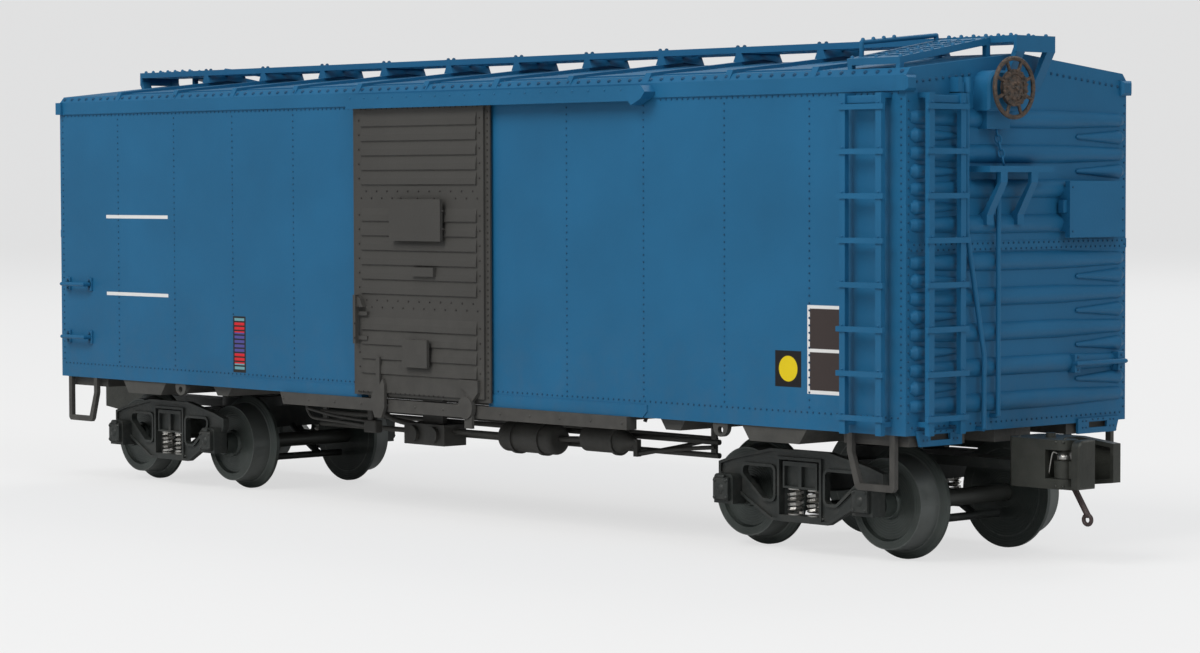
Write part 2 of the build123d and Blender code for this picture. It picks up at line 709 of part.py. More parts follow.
def card(shift, lift, width, height):
    """A card board on two upright battens."""
    left, low = shift - width / 2, door_z + lift
    back = rib_face - BOARD_BATTEN
    board = block(left, left + width, back - CARD_SKIN, back, low, low + height)
    for place in (left + width / 4, left + width * 3 / 4):
        board += block(place - CARD_SKIN, place + CARD_SKIN, back, door_face, low, low + height)
    return board


def latch():
    """The hasp down the door's left edge: a bar on two arms under a small cheek."""
    x = -DOOR_WIDTH / 2 + LATCH_INSET
    low = door_z + LATCH_LOW
    face = door_face - LATCH_PROUD
    shape = block(x, x + LATCH_BAR, face - LATCH_BAR, face, low, low + LATCH_HEIGHT)
    for height in (low + LATCH_BAR, low + LATCH_HEIGHT / 2 + LATCH_BAR):
        shape += block(x, x + LATCH_ARM, face, door_face, height, height + LATCH_BAR)
    cheek = [(x, low + LATCH_HEIGHT), (x + LATCH_ARM / 2, low + LATCH_HEIGHT - LATCH_BAR),
             (x + LATCH_ARM * 3 / 4, low + LATCH_HEIGHT * 3 / 4), (x, low + LATCH_HEIGHT * 3 / 4)]
    return shape + side_prism(cheek, face - LATCH_BAR / 2, door_face)


def pull():
    """The hand pull: a flat staple that stands off the door."""
    left, low = PULL_SHIFT - PULL_WIDTH / 2, door_z + PULL_LIFT
    staple = block(left, left + PULL_WIDTH, door_face - PULL_PROUD, door_face, low, low + PULL_HEIGHT)
    web = LATCH_BAR
    return staple - block(left + web, left + PULL_WIDTH - web, door_face - PULL_PROUD + web / 2, door_face,
                          low - OVERRUN, low + PULL_HEIGHT + OVERRUN)


def hangers():
    """The shoe at the left and the roller at the right that hang over the sill track."""
    out = door_face - HANGER_SKIN
    neck, half = SHOE_NECK / 4, SHOE_WIDTH / 2
    shoe = [(-neck, door_z + SHOE_TOP), (-neck, door_z + SHOE_NECK), (-half, door_z),
            (-half, door_z - SHOE_DROP / 2),
            (-half / 2, door_z - SHOE_DROP), (half / 2, door_z - SHOE_DROP), (half, door_z - SHOE_DROP / 2),
            (half, door_z + SHOE_NECK), (half - neck, door_z + SHOE_NECK * 3 / 2), (neck, door_z + SHOE_NECK),
            (neck, door_z + SHOE_TOP)]
    left = side_prism([(SHOE_SHIFT + x, z) for x, z in shoe], out, door_face)
    top, low, wide = door_z + ROLLER_TOP, door_z - ROLLER_DROP, ROLLER_FLANGE / 2
    arm = [(-wide, top), (-wide, top - ROLLER_BAR), (-neck, top - 2 * ROLLER_BAR),
           (-ROLLER_R / 2, door_z - ROLLER_R), (-ROLLER_R / 2, low), (ROLLER_R / 2, low),
           (ROLLER_R / 2, door_z), (wide, top - 2 * ROLLER_BAR), (wide, top)]
    right = side_prism([(ROLLER_SHIFT + x, z) for x, z in arm], out, door_face)
    wheel = cross_pin(ROLLER_SHIFT - neck, out - HANGER_SKIN / 2, door_face, door_z - ROLLER_R / 2, ROLLER_R)
    return left + wheel + right


def door():
    half = DOOR_WIDTH / 2
    shape = block(-half, half, flange_y, door_back, door_z, door_top_z)
    shape += block(-panel_half, panel_half, door_face, flange_y, door_z + DOOR_FLANGE_WIDTH / 2, door_top_z)
    for lift, count in zip(DOOR_SECTION_LIFTS, DOOR_SECTION_RIBS):
        shape += ribbed_section(lift, count)
    shape += card(PLACARD_SHIFT, PLACARD_LIFT, PLACARD_WIDTH, PLACARD_HEIGHT)
    shape += card(CARD_SHIFT, CARD_LIFT, CARD_WIDTH, CARD_HEIGHT)
    return shape + latch() + pull() + hangers()


door_shape = door()
save("door_near", door_shape)
save("door_far", half_turn(door_shape))

# Tracks: a channel over the door with a stop at its end, and a plain sill track under it

def upper_track():
    low, top = side_top - TRACK_DROP, side_top - TRACK_DROP + TRACK_HEIGHT
    lip_back = rib_face - TRACK_GAP
    front = lip_back - TRACK_SKIN
    shelf = block(TRACK_LEFT, TRACK_RIGHT, lip_back, fascia_y, door_top_z + TRACK_GAP, top)
    lip = block(TRACK_LEFT, TRACK_RIGHT, front, lip_back, low, top)
    stop_low = top - STOP_HEIGHT - TRACK_DROP
    right = TRACK_RIGHT + STOP_LENGTH
    outline = [(TRACK_RIGHT, top), (TRACK_RIGHT, stop_low + STOP_CUT), (TRACK_RIGHT + STOP_CUT, stop_low),
               (right - STOP_CUT, stop_low + STOP_CUT), (right, top - STOP_CUT), (right - STOP_CUT, top)]
    return shelf + lip + side_prism(outline, front - TRACK_SKIN / 2, fascia_y)


def sill_track():
    low, cut = side_low - SILL_TRACK_DEPTH, SILL_TRACK_CUT
    outline = [(SILL_TRACK_LEFT, side_low), (SILL_TRACK_LEFT + cut, low), (SILL_TRACK_RIGHT, low),
               (SILL_TRACK_RIGHT, side_low)]
    return side_prism(outline, door_face + TRACK_GAP, -HALF_W + WALL)


save("upper_track_near", upper_track())
save("upper_track_far", half_turn(upper_track()))
save("sill_track_near", sill_track())
save("sill_track_far", half_turn(sill_track()))

# Ladders

def ladder(first, second, wall_face):
    """Stiles and rungs of flat bar, off a wall that faces +Y. first and second are the stiles' middles."""
    low = side_low + LADDER_LOW
    top = side_top - LADDER_TOP
    face = wall_face + LADDER_STANDOFF
    front = face + STILE_SKIN
    half = STILE_WIDTH / 2
    count = int((top - low - RUNG_HEIGHT) // RUNG_PITCH) + 1
    shape = block(first - half, first + half, face, front, side_low, top)
    shape += block(second - half, second + half, face, front, side_low, top)
    for place in (first, second):
        for height in (low - LADDER_FOOT, top - LADDER_FOOT):
            shape += block(place - half, place + half, wall_face, face, height, height + LADDER_FOOT)
    for step in range(count):
        height = low + step * RUNG_PITCH
        shape += block(first - half - RUNG_LAP, second + half + RUNG_LAP, front - RUNG_SKIN / 2,
                       front + RUNG_SKIN / 2, height, height + RUNG_HEIGHT)
    return shape


# Each ladder is made on a wall that faces +Y and then turned to its own
side_first = -HALF_L + SIDE_LADDER_INSET + STILE_WIDTH / 2
side_ladder = ladder(side_first, side_first + SIDE_LADDER_WIDTH - STILE_WIDTH, HALF_W).rotate(Axis.Z, 180)
end_last = HALF_W - END_LADDER_INSET - STILE_WIDTH / 2
end_first = end_last - END_LADDER_WIDTH + STILE_WIDTH
end_ladder = against_end(ladder(end_first, end_last, HALF_L).rotate(Axis.Z, -90))
save("side_ladder_near", side_ladder)
save("side_ladder_far", half_turn(side_ladder))
save("end_ladder_brake", end_ladder)
save("end_ladder_plain", half_turn(end_ladder))

# Stirrup steps under the corners

def stirrup():
    """A bent strap under the near right corner, its inner leg straight at first and then leaning."""
    top, low = side_low, side_low - STEP_DROP
    right = HALF_L - STEP_INSET
    left = right - STEP_WIDTH
    knee = top - STEP_DROP * STEP_KNEE_SHARE
    foot, half = left + STEP_LEAN, STEP_BAR / 2
    outline = [(left, top), (left + STEP_BAR, top), (left + STEP_BAR, knee),
               (foot + STEP_BAR, low + STEP_BAR), (right - STEP_BAR, low + STEP_BAR), (right - STEP_BAR, top),
               (right, top), (right, low + half), (right - half, low), (foot + half, low), (foot, low + half),
               (left, knee)]
    return side_prism(outline, -HALF_W, -HALF_W + STEP_SKIN)


step_right = stirrup()
step_left = step_right.mirror(Plane.YZ)
save("corner_steps", step_right, step_left, half_turn(step_right), half_turn(step_left))

# Grab irons: two at the near side's left end, one low on the end's far corner

def grab(first, second, wall_face, height):
    """A round bar on two legs with round feet, on a wall that faces +Y."""
    face = wall_face + GRAB_STANDOFF
    shape = bent_bar([(first, wall_face, height), (first, face, height), (second, face, height),
                      (second, wall_face, height)], GRAB_R)
    for place in (first, second):
        shape += bar((place, wall_face, height), (place, wall_face + GRAB_R, height), GRAB_FOOT_R)
    return shape


grab_first = HALF_L - GRAB_INSET - GRAB_WIDTH
side_grabs = [grab(grab_first, HALF_L - GRAB_INSET, HALF_W, side_low + lift).rotate(Axis.Z, 180)
              for lift in GRAB_LIFTS]
grab_last = -HALF_W + END_GRAB_INSET
end_grab = against_end(grab(grab_last, grab_last + END_GRAB_WIDTH, HALF_L, side_low + END_GRAB_LIFT).rotate(
    Axis.Z, -90))
save("side_grabs", *side_grabs, *[half_turn(one) for one in side_grabs])
save("end_grabs", end_grab, half_turn(end_grab))

# Brake wheel on its shaft
wheel_x = HALF_L + BRAKE_WHEEL_REACH
wheel_z = eave_z - BRAKE_WHEEL_DROP
shaft_end = HALF_L + HOUSING_DEPTH


def brake_wheel():
    """Round rim, spokes and an inner ring round a domed hub, with the shaft to the gear case."""
    reach = BRAKE_WHEEL_R - BRAKE_RIM_R
    ring = BRAKE_WHEEL_R * BRAKE_RING_SHARE
    well, lip = ring - 2 * BRAKE_RIM_R, BRAKE_WEB_SKIN / 2
    section = [(0, -BRAKE_WEB_SKIN), (ring / 3, -BRAKE_WEB_SKIN), (well, -BRAKE_RIM_R / 2), (well, -lip),
               (ring, -lip), (ring, lip), (well, lip), (well, BRAKE_RIM_R / 2), (ring / 3, BRAKE_WEB_SKIN),
               (0, BRAKE_WEB_SKIN)]
    turned = [(reach + BRAKE_RIM_R * math.cos(math.pi * (2 * step + 1) / BRAKE_SPOKES),
               BRAKE_RIM_R * math.sin(math.pi * (2 * step + 1) / BRAKE_SPOKES)) for step in range(BRAKE_SPOKES)]
    wheel = None
    for outline in (section, turned):
        face = Plane.XZ * make_face(Polyline(*outline, close=True))
        wheel = revolve(face, Axis.Z) if wheel is None else Compound(children=[wheel, revolve(face, Axis.Z)])
    spokes = []
    for step in range(BRAKE_SPOKES):
        angle = 2 * math.pi * (step + 1 / 2) / BRAKE_SPOKES
        ray = (math.cos(angle), math.sin(angle), 0)
        start, end = ([length * part for part in ray] for length in (ring - BRAKE_RIM_R, reach))
        spokes.append(bar(start, end, BRAKE_RIM_R * 3 / 4))
    wheel = spokes[0].fuse(*spokes[1:], *wheel.solids())
    wheel = Pos(wheel_x, BRAKE_WHEEL_Y, wheel_z) * Rot(0, 90, 0) * wheel
    return wheel + bar((shaft_end, BRAKE_WHEEL_Y, wheel_z), (wheel_x, BRAKE_WHEEL_Y, wheel_z), BRAKE_RIM_R)


save("brake_wheel", brake_wheel())
housing_low = eave_z - HOUSING_DROP
gear_low = housing_low - GEAR_HEIGHT


def brake_housing():
    """The gear case behind the brake wheel, round shouldered, with the narrower chain case under it."""
    case = block(HALF_L, shaft_end, HOUSING_NEAR, HOUSING_FAR, housing_low, housing_low + HOUSING_HEIGHT)
    case = fillet(case.edges().filter_by(Axis.X).group_by(Axis.Z)[-1], HOUSING_CURVE)
    case = chamfer(case.faces().sort_by(Axis.X)[-1].edges(), BRAKE_RIM_R)
    return case + block(HALF_L, HALF_L + GEAR_DEPTH, GEAR_NEAR, GEAR_FAR, gear_low, housing_low)


housing = against_end(brake_housing())
save("brake_housing", housing)
# The near stay of the running board ends on the gear case
save("running_board", running_board() - brake_housing())
platform_top = eave_z - PLATFORM_DROP
platform_low = platform_top - PLATFORM_SKIN


def brake_platform():
    """The step under the brake wheel, on two leaning straps that turn over its edge."""
    edge = HALF_L + PLATFORM_DEPTH
    plate = block(HALF_L, edge, PLATFORM_NEAR, PLATFORM_FAR, platform_low, platform_top)
    foot, lip = platform_top - BRACKET_DROP, platform_low - BRACKET_LIP
    knee = HALF_L + END_RIB_PROUD + BRACKET_SKIN
    lean = [(HALF_L, foot - BRACKET_LIP), (HALF_L, foot), (knee - BRACKET_SKIN, foot + BRACKET_SKIN),
            (edge - BRACKET_SKIN, lip), (edge - BRACKET_SKIN, platform_low), (edge, platform_low), (edge, lip),
            (knee, foot), (knee, foot - BRACKET_LIP)]
    for place in BRACKET_PLACES:
        plate += side_prism(lean, place - BRACKET_WIDTH / 2, place + BRACKET_WIDTH / 2)
    return plate


save("brake_platform", against_end(brake_platform()))


def standing_rod(points, feet):
    """A rod that follows a few points on the end, with a foot to the wall at the listed ones."""
    shape = None
    for start, finish in zip(points, points[1:]):
        length = bar(start, finish, ROD_R)
        shape = length if shape is None else shape + length + Pos(*start) * Sphere(ROD_R)
    for index in feet:
        x, y, z = points[index]
        shape += bar((HALF_L, y, z), (x, y, z), ROD_R)
    return shape


def brake_rods():
    """The crank rod under the platform, and the retainer valve with its long kinked pipe."""
    x = HALF_L + ROD_STANDOFF
    crank = standing_rod([(x, CRANK_Y, side_low + LADDER_LOW + ROD_FOOT), (x, CRANK_Y, platform_low)], (0,))
    valve_low = eave_z - RETAINER_DROP
    high, low = (side_low + SIDE_HEIGHT * share for share in reversed(RETAINER_BEND_SHARES))
    moved = RETAINER_Y + RETAINER_PIPE_SHIFT
    pipe = standing_rod([(x, moved, side_low + ROD_R), (x, moved, low), (x, RETAINER_Y, high),
                         (x, RETAINER_Y, valve_low)], (0,))
    collar = bar((x, RETAINER_Y, valve_low), (x, RETAINER_Y, valve_low + RETAINER_HEIGHT), ROD_R * 3 / 2)
    near = RETAINER_Y - RETAINER_WIDTH
    body = block(HALF_L, x, near, RETAINER_Y, valve_low, valve_low + RETAINER_HEIGHT * 2 / 3)
    cap = block(HALF_L, x + ROD_R, near, near + RETAINER_WIDTH / 3, valve_low, valve_low + RETAINER_HEIGHT)
    return crank, pipe + collar + body + cap


save("brake_rods", *[against_end(piece) for piece in brake_rods()])


def end_board():
    """The wooden card board on the end, on two battens."""
    low = eave_z - END_BOARD_DROP
    face = HALF_L + END_BOARD_STANDOFF
    right = HALF_W - END_BOARD_INSET
    left = right - END_BOARD_WIDTH
    board = block(face, face + END_BOARD_SKIN, left, right, low, low + END_BOARD_HEIGHT)
    for place in (left + END_BOARD_SKIN, right - END_BOARD_WIDTH / 4):
        board += block(HALF_L, face, place - END_BOARD_SKIN, place + END_BOARD_SKIN, low + END_BOARD_SKIN,
                       low + END_BOARD_HEIGHT - END_BOARD_SKIN)
    return board


board_shape = against_end(end_board())
save("end_boards", *board_shape.solids(), *half_turn(board_shape).solids())

# Under the floor: pads at the corners, rings for the rope, slotted end brackets and the air brake gear
pad_inner_x = HALF_L - PAD_INSET - PAD_LENGTH
floor = block(-HALF_L + WALL, HALF_L - WALL, -HALF_W + WALL, HALF_W - WALL, floor_z, floor_z + FLOOR_SKIN)
pad = block(pad_inner_x, HALF_L - PAD_INSET, -HALF_W + WALL, -PAD_INNER, side_low - PAD_DROP, side_low)
pad += block(pad_inner_x, HALF_L - WALL, -HALF_W + WALL, -PAD_INNER, side_low, floor_z)
for corner in (pad, pad.mirror(Plane.XZ)):
    floor += corner + half_turn(corner)
save("floor", floor)


def ring(place):
    """A plate with a hole, hung from the side's foot."""
    y, z = -HALF_W + WALL / 2, side_low - RING_R / 3
    plate = cross_pin(place, y - RING_SKIN / 2, y + RING_SKIN / 2, z, RING_R)
    plate -= cross_pin(place, y - RING_SKIN, y + RING_SKIN, z - RING_R / 3, RING_BORE_R)
    return plate - block(place - 2 * RING_R, place + 2 * RING_R, -HALF_W, 0, side_low, side_top)


rings = [ring(place) for place in (-HALF_L + RING_INSET, HALF_L - RING_INSET)]
bearer = cross_beam(BEARER_HALF_TOP, BEARER_HALF_LOW, BEARER_DROP, HALF_W - WALL)
arms = [Pos(share * truck_x, 0, 0) * arm for share in BEARER_SHARES for arm in bearer.solids()]
save("crossbearers", *arms, *rings, *[half_turn(one) for one in rings])


def slot_bracket():
    """The slotted plate low on the end, beside the coupler, its outer edge slanted."""
    low, top = side_low - SLOT_BRACKET_DROP, side_low + SLOT_BRACKET_LIFT
    outer = -HALF_W + SLOT_BRACKET_INSET
    inner = outer + SLOT_BRACKET_WIDTH
    outline = [(outer + SLOT_BRACKET_DROP / 2, low), (inner, low), (inner, top), (outer, top)]
    plate = prism(outline, HALF_L, SLOT_BRACKET_DEPTH, END_PLANE)
    left, right, down, up = SLOT_SHARES
    slot = block(HALF_L - OVERRUN, HALF_L + SLOT_BRACKET_DEPTH + OVERRUN, outer + left * SLOT_BRACKET_WIDTH,
                 outer + right * SLOT_BRACKET_WIDTH, low + down * (top - low), low + up * (top - low))
    return plate - slot


bracket = slot_bracket()
brackets = [against_end(piece) for piece in (bracket, bracket.mirror(Plane.XZ))]
save("end_brackets", *brackets, *[half_turn(one) for one in brackets])


def on_hanger(shape, x, y, width, top_of_piece):
    """Add the hanger that carries a piece from the floor."""
    return shape + block(x - width / 2, x + width / 2, y - PIPE_R, y + PIPE_R, top_of_piece, floor_z)


def air_reservoir():
    """A round tank with a band at each end of its barrel."""
    z, middle = z_at(RESERVOIR_RISE), reservoir_left + RESERVOIR_LENGTH / 2
    tank = Pos(middle, GEAR_Y, z) * Rot(0, 90, 0) * Cylinder(RESERVOIR_R, RESERVOIR_LENGTH)
    tank = fillet(tank.edges().filter_by(GeomType.CIRCLE), RESERVOIR_R / 3)
    for sign in (-1, 1):
        x = middle + sign * RESERVOIR_LENGTH / 4
        tank += bar((x - RESERVOIR_BAND / 2, GEAR_Y, z), (x + RESERVOIR_BAND / 2, GEAR_Y, z),
                    RESERVOIR_R + RESERVOIR_BAND_PROUD)
        tank = on_hanger(tank, x, GEAR_Y, RESERVOIR_BAND, z)
    return tank


def control_valve():
    """A block with two round caps on its near side."""
    low, right = z_at(VALVE_RISE), valve_left + VALVE_LENGTH
    near = GEAR_Y - VALVE_WIDTH / 2
    valve = block(valve_left, right, near, GEAR_Y + VALVE_WIDTH / 2, low, low + VALVE_HEIGHT)
    for place in (valve_left + VALVE_LENGTH / 4, right - VALVE_LENGTH / 4):
        valve += cross_pin(place, near - VALVE_CAP_R / 2, near, low + VALVE_HEIGHT / 2, VALVE_CAP_R)
    return on_hanger(valve, valve_left + VALVE_LENGTH / 2, GEAR_Y, VALVE_LENGTH / 2, low + VALVE_HEIGHT)


def brake_cylinder():
    """A flanged pot with a pointed nose, and the lever that its rod works."""
    z, right = z_at(CYLINDER_RISE), cylinder_left + CYLINDER_LENGTH
    pot = bar((cylinder_left, GEAR_Y, z), (right, GEAR_Y, z), CYLINDER_R)
    pot += bar((right - CYLINDER_FLANGE, GEAR_Y, z), (right, GEAR_Y, z), CYLINDER_R + CYLINDER_FLANGE / 2)
    nose = Cone(CYLINDER_R, PIPE_R, CYLINDER_NOSE)
    pot += Pos(right + CYLINDER_NOSE / 2, GEAR_Y, z) * Rot(0, 90, 0) * nose
    end = right + CYLINDER_NOSE
    pot += block(end - PIPE_R, end + PIPE_R, GEAR_Y - PIPE_R, GEAR_Y + PIPE_R, z - LEVER_DROP, z + PIPE_R)
    return on_hanger(pot, cylinder_left + CYLINDER_LENGTH / 2, GEAR_Y, CYLINDER_LENGTH / 2, z)


def brake_pipes():
    """The train pipe with the brake rod over it, on three hangers."""
    shape = None
    for rise in PIPE_RISES:
        run = bar((-pipe_reach, PIPE_Y, z_at(rise)), (pipe_reach, PIPE_Y, z_at(rise)), PIPE_R)
        shape = run if shape is None else Compound(children=[shape, run])
    half, low = HANGER_WIDTH / 2, z_at(PIPE_RISES[0])
    hangers = [block(x - half, x + half, PIPE_Y - PIPE_R / 2, PIPE_Y + PIPE_R / 2, low, floor_z)
               for x in (-pipe_reach + HANGER_WIDTH, 0, pipe_reach - HANGER_WIDTH)]
    return hangers[0].fuse(*hangers[1:], *shape.solids())


save("air_reservoir", air_reservoir())
save("control_valve", control_valve())
save("brake_cylinder", brake_cylinder())
save("brake_pipe", brake_pipes())

# Trucks

def wheelset():
    """An axle with its two wheels, turned about Y, centred on the origin."""
    well = RIM_R - RIM_WALL - WEB_DISH / 2
    cone = [(0, 0), (AXLE_R, 0), (AXLE_R, WHEEL_BACK), (TREAD_R + FLANGE_DEPTH, WHEEL_BACK),
            (TREAD_R + FLANGE_DEPTH, WHEEL_BACK + FLANGE_WIDTH / 2), (TREAD_R, WHEEL_BACK + FLANGE_WIDTH),
            (RIM_R, WHEEL_FACE), (RIM_R - RIM_WALL, WHEEL_FACE), (well, WHEEL_FACE - WEB_DISH),
            (HUB_R + WEB_DISH / 2, WHEEL_FACE - WEB_DISH), (HUB_R, WHEEL_FACE), (BEARING_R, WHEEL_FACE),
            (BEARING_R, BEARING_FACE), (JOURNAL_R, BEARING_FACE), (JOURNAL_R, BOX_FACE - FRAME_SKIN),
            (0, BOX_FACE - FRAME_SKIN)]
    half = revolve(make_face(Polyline(*cone, close=True)), Axis.Y)
    return half + half.mirror(Plane.XZ)


axle_x = AXLE_SPACING / 2


def frame_faces():
    """Outline of a sideframe and the two windows in it."""
    foot, low, top = z_at(FRAME_FOOT), z_at(BOX_LOW), z_at(BOX_TOP)
    right = [(FOOT_HALF, foot), (axle_x - BOX_HALF, low + ARM_LIFT), (axle_x + BOX_HALF, low + ARM_LIFT),
             (axle_x + BOX_HALF, top - BOX_CURVE),
             (axle_x + FRAME_TIP, top), (axle_x + FRAME_TIP, top + CHORD_WIDTH),
             (axle_x, z_at(FRAME_TOP_AT_AXLE)), (FRAME_SHOULDER, z_at(FRAME_TOP))]
    outline = make_face(Polyline(*right, *[(-x, z) for x, z in reversed(right)], close=True))
    windows = []
    for sign in (-1, 1):
        corners = [(WINDOW_INNER, z_at(WINDOW_LOW)), (WINDOW_INNER, z_at(WINDOW_TOP)),
                   (WINDOW_OUTER, z_at(WINDOW_TOP)), (WINDOW_OUTER, z_at(WINDOW_TOP) - WINDOW_SIDE),
                   (WINDOW_INNER + WINDOW_FOOT, z_at(WINDOW_LOW))]
        window = make_face(Polyline(*[(sign * x, z) for x, z in corners], close=True))
        windows.append(fillet(window.vertices(), WINDOW_CURVE))
    return outline, windows


def sideframe():
    """The cast frame on a truck's -Y side: a web with raised edges, journal boxes and the spring seat."""
    outline, windows = frame_faces()
    outer = FRAME_INNER + FRAME_SKIN + FRAME_LIP
    plate = SIDE_PLANE.offset(FRAME_INNER) * extrude(outline, FRAME_SKIN + FRAME_LIP)
    web = offset(outline, -FRAME_EDGE, kind=Kind.INTERSECTION)
    sunk = SIDE_PLANE.offset(FRAME_INNER + FRAME_SKIN) * extrude(web, FRAME_LIP)
    seat_z, opening_z = z_at(SPRING_SEAT), z_at(TRUCK_BOLSTER_TOP) + SEAT_GAP
    edge = PILLAR_HALF + FRAME_EDGE
    sunk -= block(-edge, edge, -outer, -FRAME_INNER, z_at(FRAME_FOOT), opening_z + FRAME_EDGE)
    for window in windows:
        rim = extrude(offset(window, FRAME_EDGE), FRAME_LIP)
        sunk -= SIDE_PLANE.offset(FRAME_INNER + FRAME_SKIN) * rim
    plate -= sunk
    for window in windows:
        hole = extrude(window, FRAME_SKIN + FRAME_LIP + 2 * OVERRUN)
        plate -= SIDE_PLANE.offset(FRAME_INNER - OVERRUN) * hole
    plate -= block(-PILLAR_HALF, PILLAR_HALF, -outer - OVERRUN, -FRAME_INNER + OVERRUN, seat_z, opening_z)
    plate += block(-PILLAR_HALF, PILLAR_HALF, -outer, -SPRING_Y + SPRING_R, z_at(FRAME_FOOT), seat_z)
    for place in (-axle_x, axle_x):
        lid = BOX_FACE - BOX_LID_SKIN
        box = block(place - BOX_HALF, place + BOX_HALF, -lid, -FRAME_INNER, z_at(BOX_LOW), z_at(BOX_TOP))
        box = fillet(box.edges().filter_by(Axis.Y).group_by(Axis.Z)[-1], BOX_CURVE)
        half = BOX_HALF - BOX_LID_SKIN
        plate += box + block(place - half, place + half, -BOX_FACE, -lid, z_at(BOX_LOW) + BOX_LID_SKIN,
                             z_at(BOX_TOP) - BOX_LID_SKIN)
        plate -= cross_pin(place, -BOX_FACE + FRAME_SKIN - RUNNING_GAP, -FRAME_INNER + OVERRUN, z_at(TREAD_R),
                           JOURNAL_R + RUNNING_GAP)
    return plate


def truck_bolster():
    """Cross beam with a T at each end, and its tongue towards +X."""
    low, top = z_at(TRUCK_BOLSTER_LOW), z_at(TRUCK_BOLSTER_TOP)
    beam = block(-TRUCK_BOLSTER_HALF, TRUCK_BOLSTER_HALF, -BOLSTER_END, BOLSTER_END, low, top)
    web = BOLSTER_POCKET / 2
    for sign in (-1, 1):
        for side in (-1, 1):
            x0, x1 = sorted((side * web, side * (TRUCK_BOLSTER_HALF - web)))
            y0, y1 = sorted((sign * (BOLSTER_END - BOLSTER_POCKET), sign * (BOLSTER_END + OVERRUN)))
            beam -= block(x0, x1, y0, y1, low + web, top - BOLSTER_POCKET)
    seat = disc(0, 0, top, 2 * CENTRE_PLATE_R, z_at(FRAME_TOP) - top)
    axis = z_at(COUPLER_AXIS_RISE)
    reach, half = HALF_L + HEAD_REACH - truck_x, SHANK_WIDTH / 2
    tongue = block(0, reach, -half, half, axis - SHANK_DEPTH / 2, axis)
    return beam + seat + tongue


def coil():
    """A coil spring of square wire, its turns made of a few straight lengths."""
    count = int(SPRING_TURNS * SPRING_SIDES)
    height = z_at(TRUCK_BOLSTER_LOW) - z_at(SPRING_SEAT)
    reach, start = SPRING_R - SPRING_WIRE / 2, SPRING_WIRE * 3 / 4
    rise = (height - 2 * start) / count
    turn = 2 * math.pi / SPRING_SIDES
    points = [(reach * math.cos(turn * step), reach * math.sin(turn * step), start + rise * step)
              for step in range(count + 1)]
    path = Polyline(*points)
    section = Plane(origin=path @ 0, z_dir=path % 0, x_dir=(0, 0, 1)) * Rectangle(SPRING_WIRE, SPRING_WIRE)
    spring = sweep(section, path=path, transition=Transition.RIGHT)
    seat_skin = SPRING_WIRE / 2
    seat = disc(0, 0, 0, SPRING_R, seat_skin) - disc(0, 0, 0, SPRING_R - SPRING_WIRE, seat_skin)
    return spring + seat + Pos(0, 0, height - seat_skin) * seat


def springs():
    """Four coil springs, one solid each."""
    one = coil()
    return [Pos(place, side * SPRING_Y, z_at(SPRING_SEAT)) * one
            for side in (-1, 1) for place in (-SPRING_OFFSET, SPRING_OFFSET)]


head_x = HALF_L + HEAD_REACH
mouth_x = head_x + HEAD_LENGTH
guard_x = mouth_x + GUARD_LENGTH
pin_x = HALF_L + KNUCKLE_PIN_REACH
head_low, head_top = z_at(HEAD_LOW), z_at(HEAD_TOP)


def coupler_head():
    """Block head: the guard arm on the far side, the knuckle's two lugs on the near side."""
    plan = [(head_x, -HEAD_HALF + HEAD_CUT), (head_x + HEAD_CUT, -HEAD_HALF), (mouth_x, -HEAD_HALF),
            (mouth_x, HEAD_HALF), (head_x + HEAD_CUT, HEAD_HALF), (head_x, HEAD_HALF - HEAD_CUT)]
    shape = prism(plan, head_low, head_top - head_low, Plane.XY)
    low, top = head_low + GUARD_TAPER, head_top - GUARD_TAPER
    inner = HEAD_HALF - GUARD_WIDTH
    shape += side_prism([(mouth_x, head_low), (guard_x, low), (guard_x, top), (mouth_x, head_top)], inner,
                        HEAD_HALF)
    pocket = [(mouth_x, head_low + GUARD_SKIN), (guard_x - GUARD_SKIN, low + GUARD_SKIN),
              (guard_x - GUARD_SKIN, top - GUARD_SKIN), (mouth_x, head_top - GUARD_SKIN)]
    shape -= side_prism(pocket, inner - OVERRUN, HEAD_HALF - GUARD_SKIN)
    for z in (head_low, head_top - LUG_SKIN):
        near, far = KNUCKLE_PIN_Y - LUG_R, KNUCKLE_PIN_Y + LUG_R
        shape += disc(pin_x, KNUCKLE_PIN_Y, z, LUG_R, LUG_SKIN)
        shape += block(mouth_x - OVERRUN, pin_x, near, far, z, z + LUG_SKIN)
    return shape + disc(mouth_x - LUG_R, -LUG_R / 2, head_top, LOCK_R, LOCK_HEIGHT)


def knuckle():
    """The swinging jaw: a hub and pin between the lugs and a plate with its nose turned in."""
    low, top = head_low + KNUCKLE_LIFT, head_top + KNUCKLE_LIFT / 2
    gap_low = head_low + LUG_SKIN + RUNNING_GAP
    gap_top = head_top - LUG_SKIN - RUNNING_GAP
    plate = block(KNUCKLE_FRONT - KNUCKLE_PLATE, KNUCKLE_FRONT, KNUCKLE_NEAR, KNUCKLE_FAR, low, top)
    plate = fillet(plate.edges().filter_by(Axis.X).group_by(Axis.Z)[-1].sort_by(Axis.Y)[0], KNUCKLE_CORNER)
    plate = chamfer(plate.faces().sort_by(Axis.X)[-1].edges(), KNUCKLE_CURVE)
    hub_top = gap_low + (gap_top - gap_low) * KNUCKLE_HUB_SHARE
    half = KNUCKLE_HUB_R / 2
    neck = block(0, KNUCKLE_FRONT - KNUCKLE_PLATE / 2, -half, half, gap_low, hub_top)
    hub = disc(0, 0, gap_low, KNUCKLE_HUB_R, hub_top - gap_low)
    hub += disc(0, 0, gap_low, KNUCKLE_PIN_R, gap_top - gap_low)
    return Pos(pin_x, KNUCKLE_PIN_Y, 0) * (plate + neck + hub)


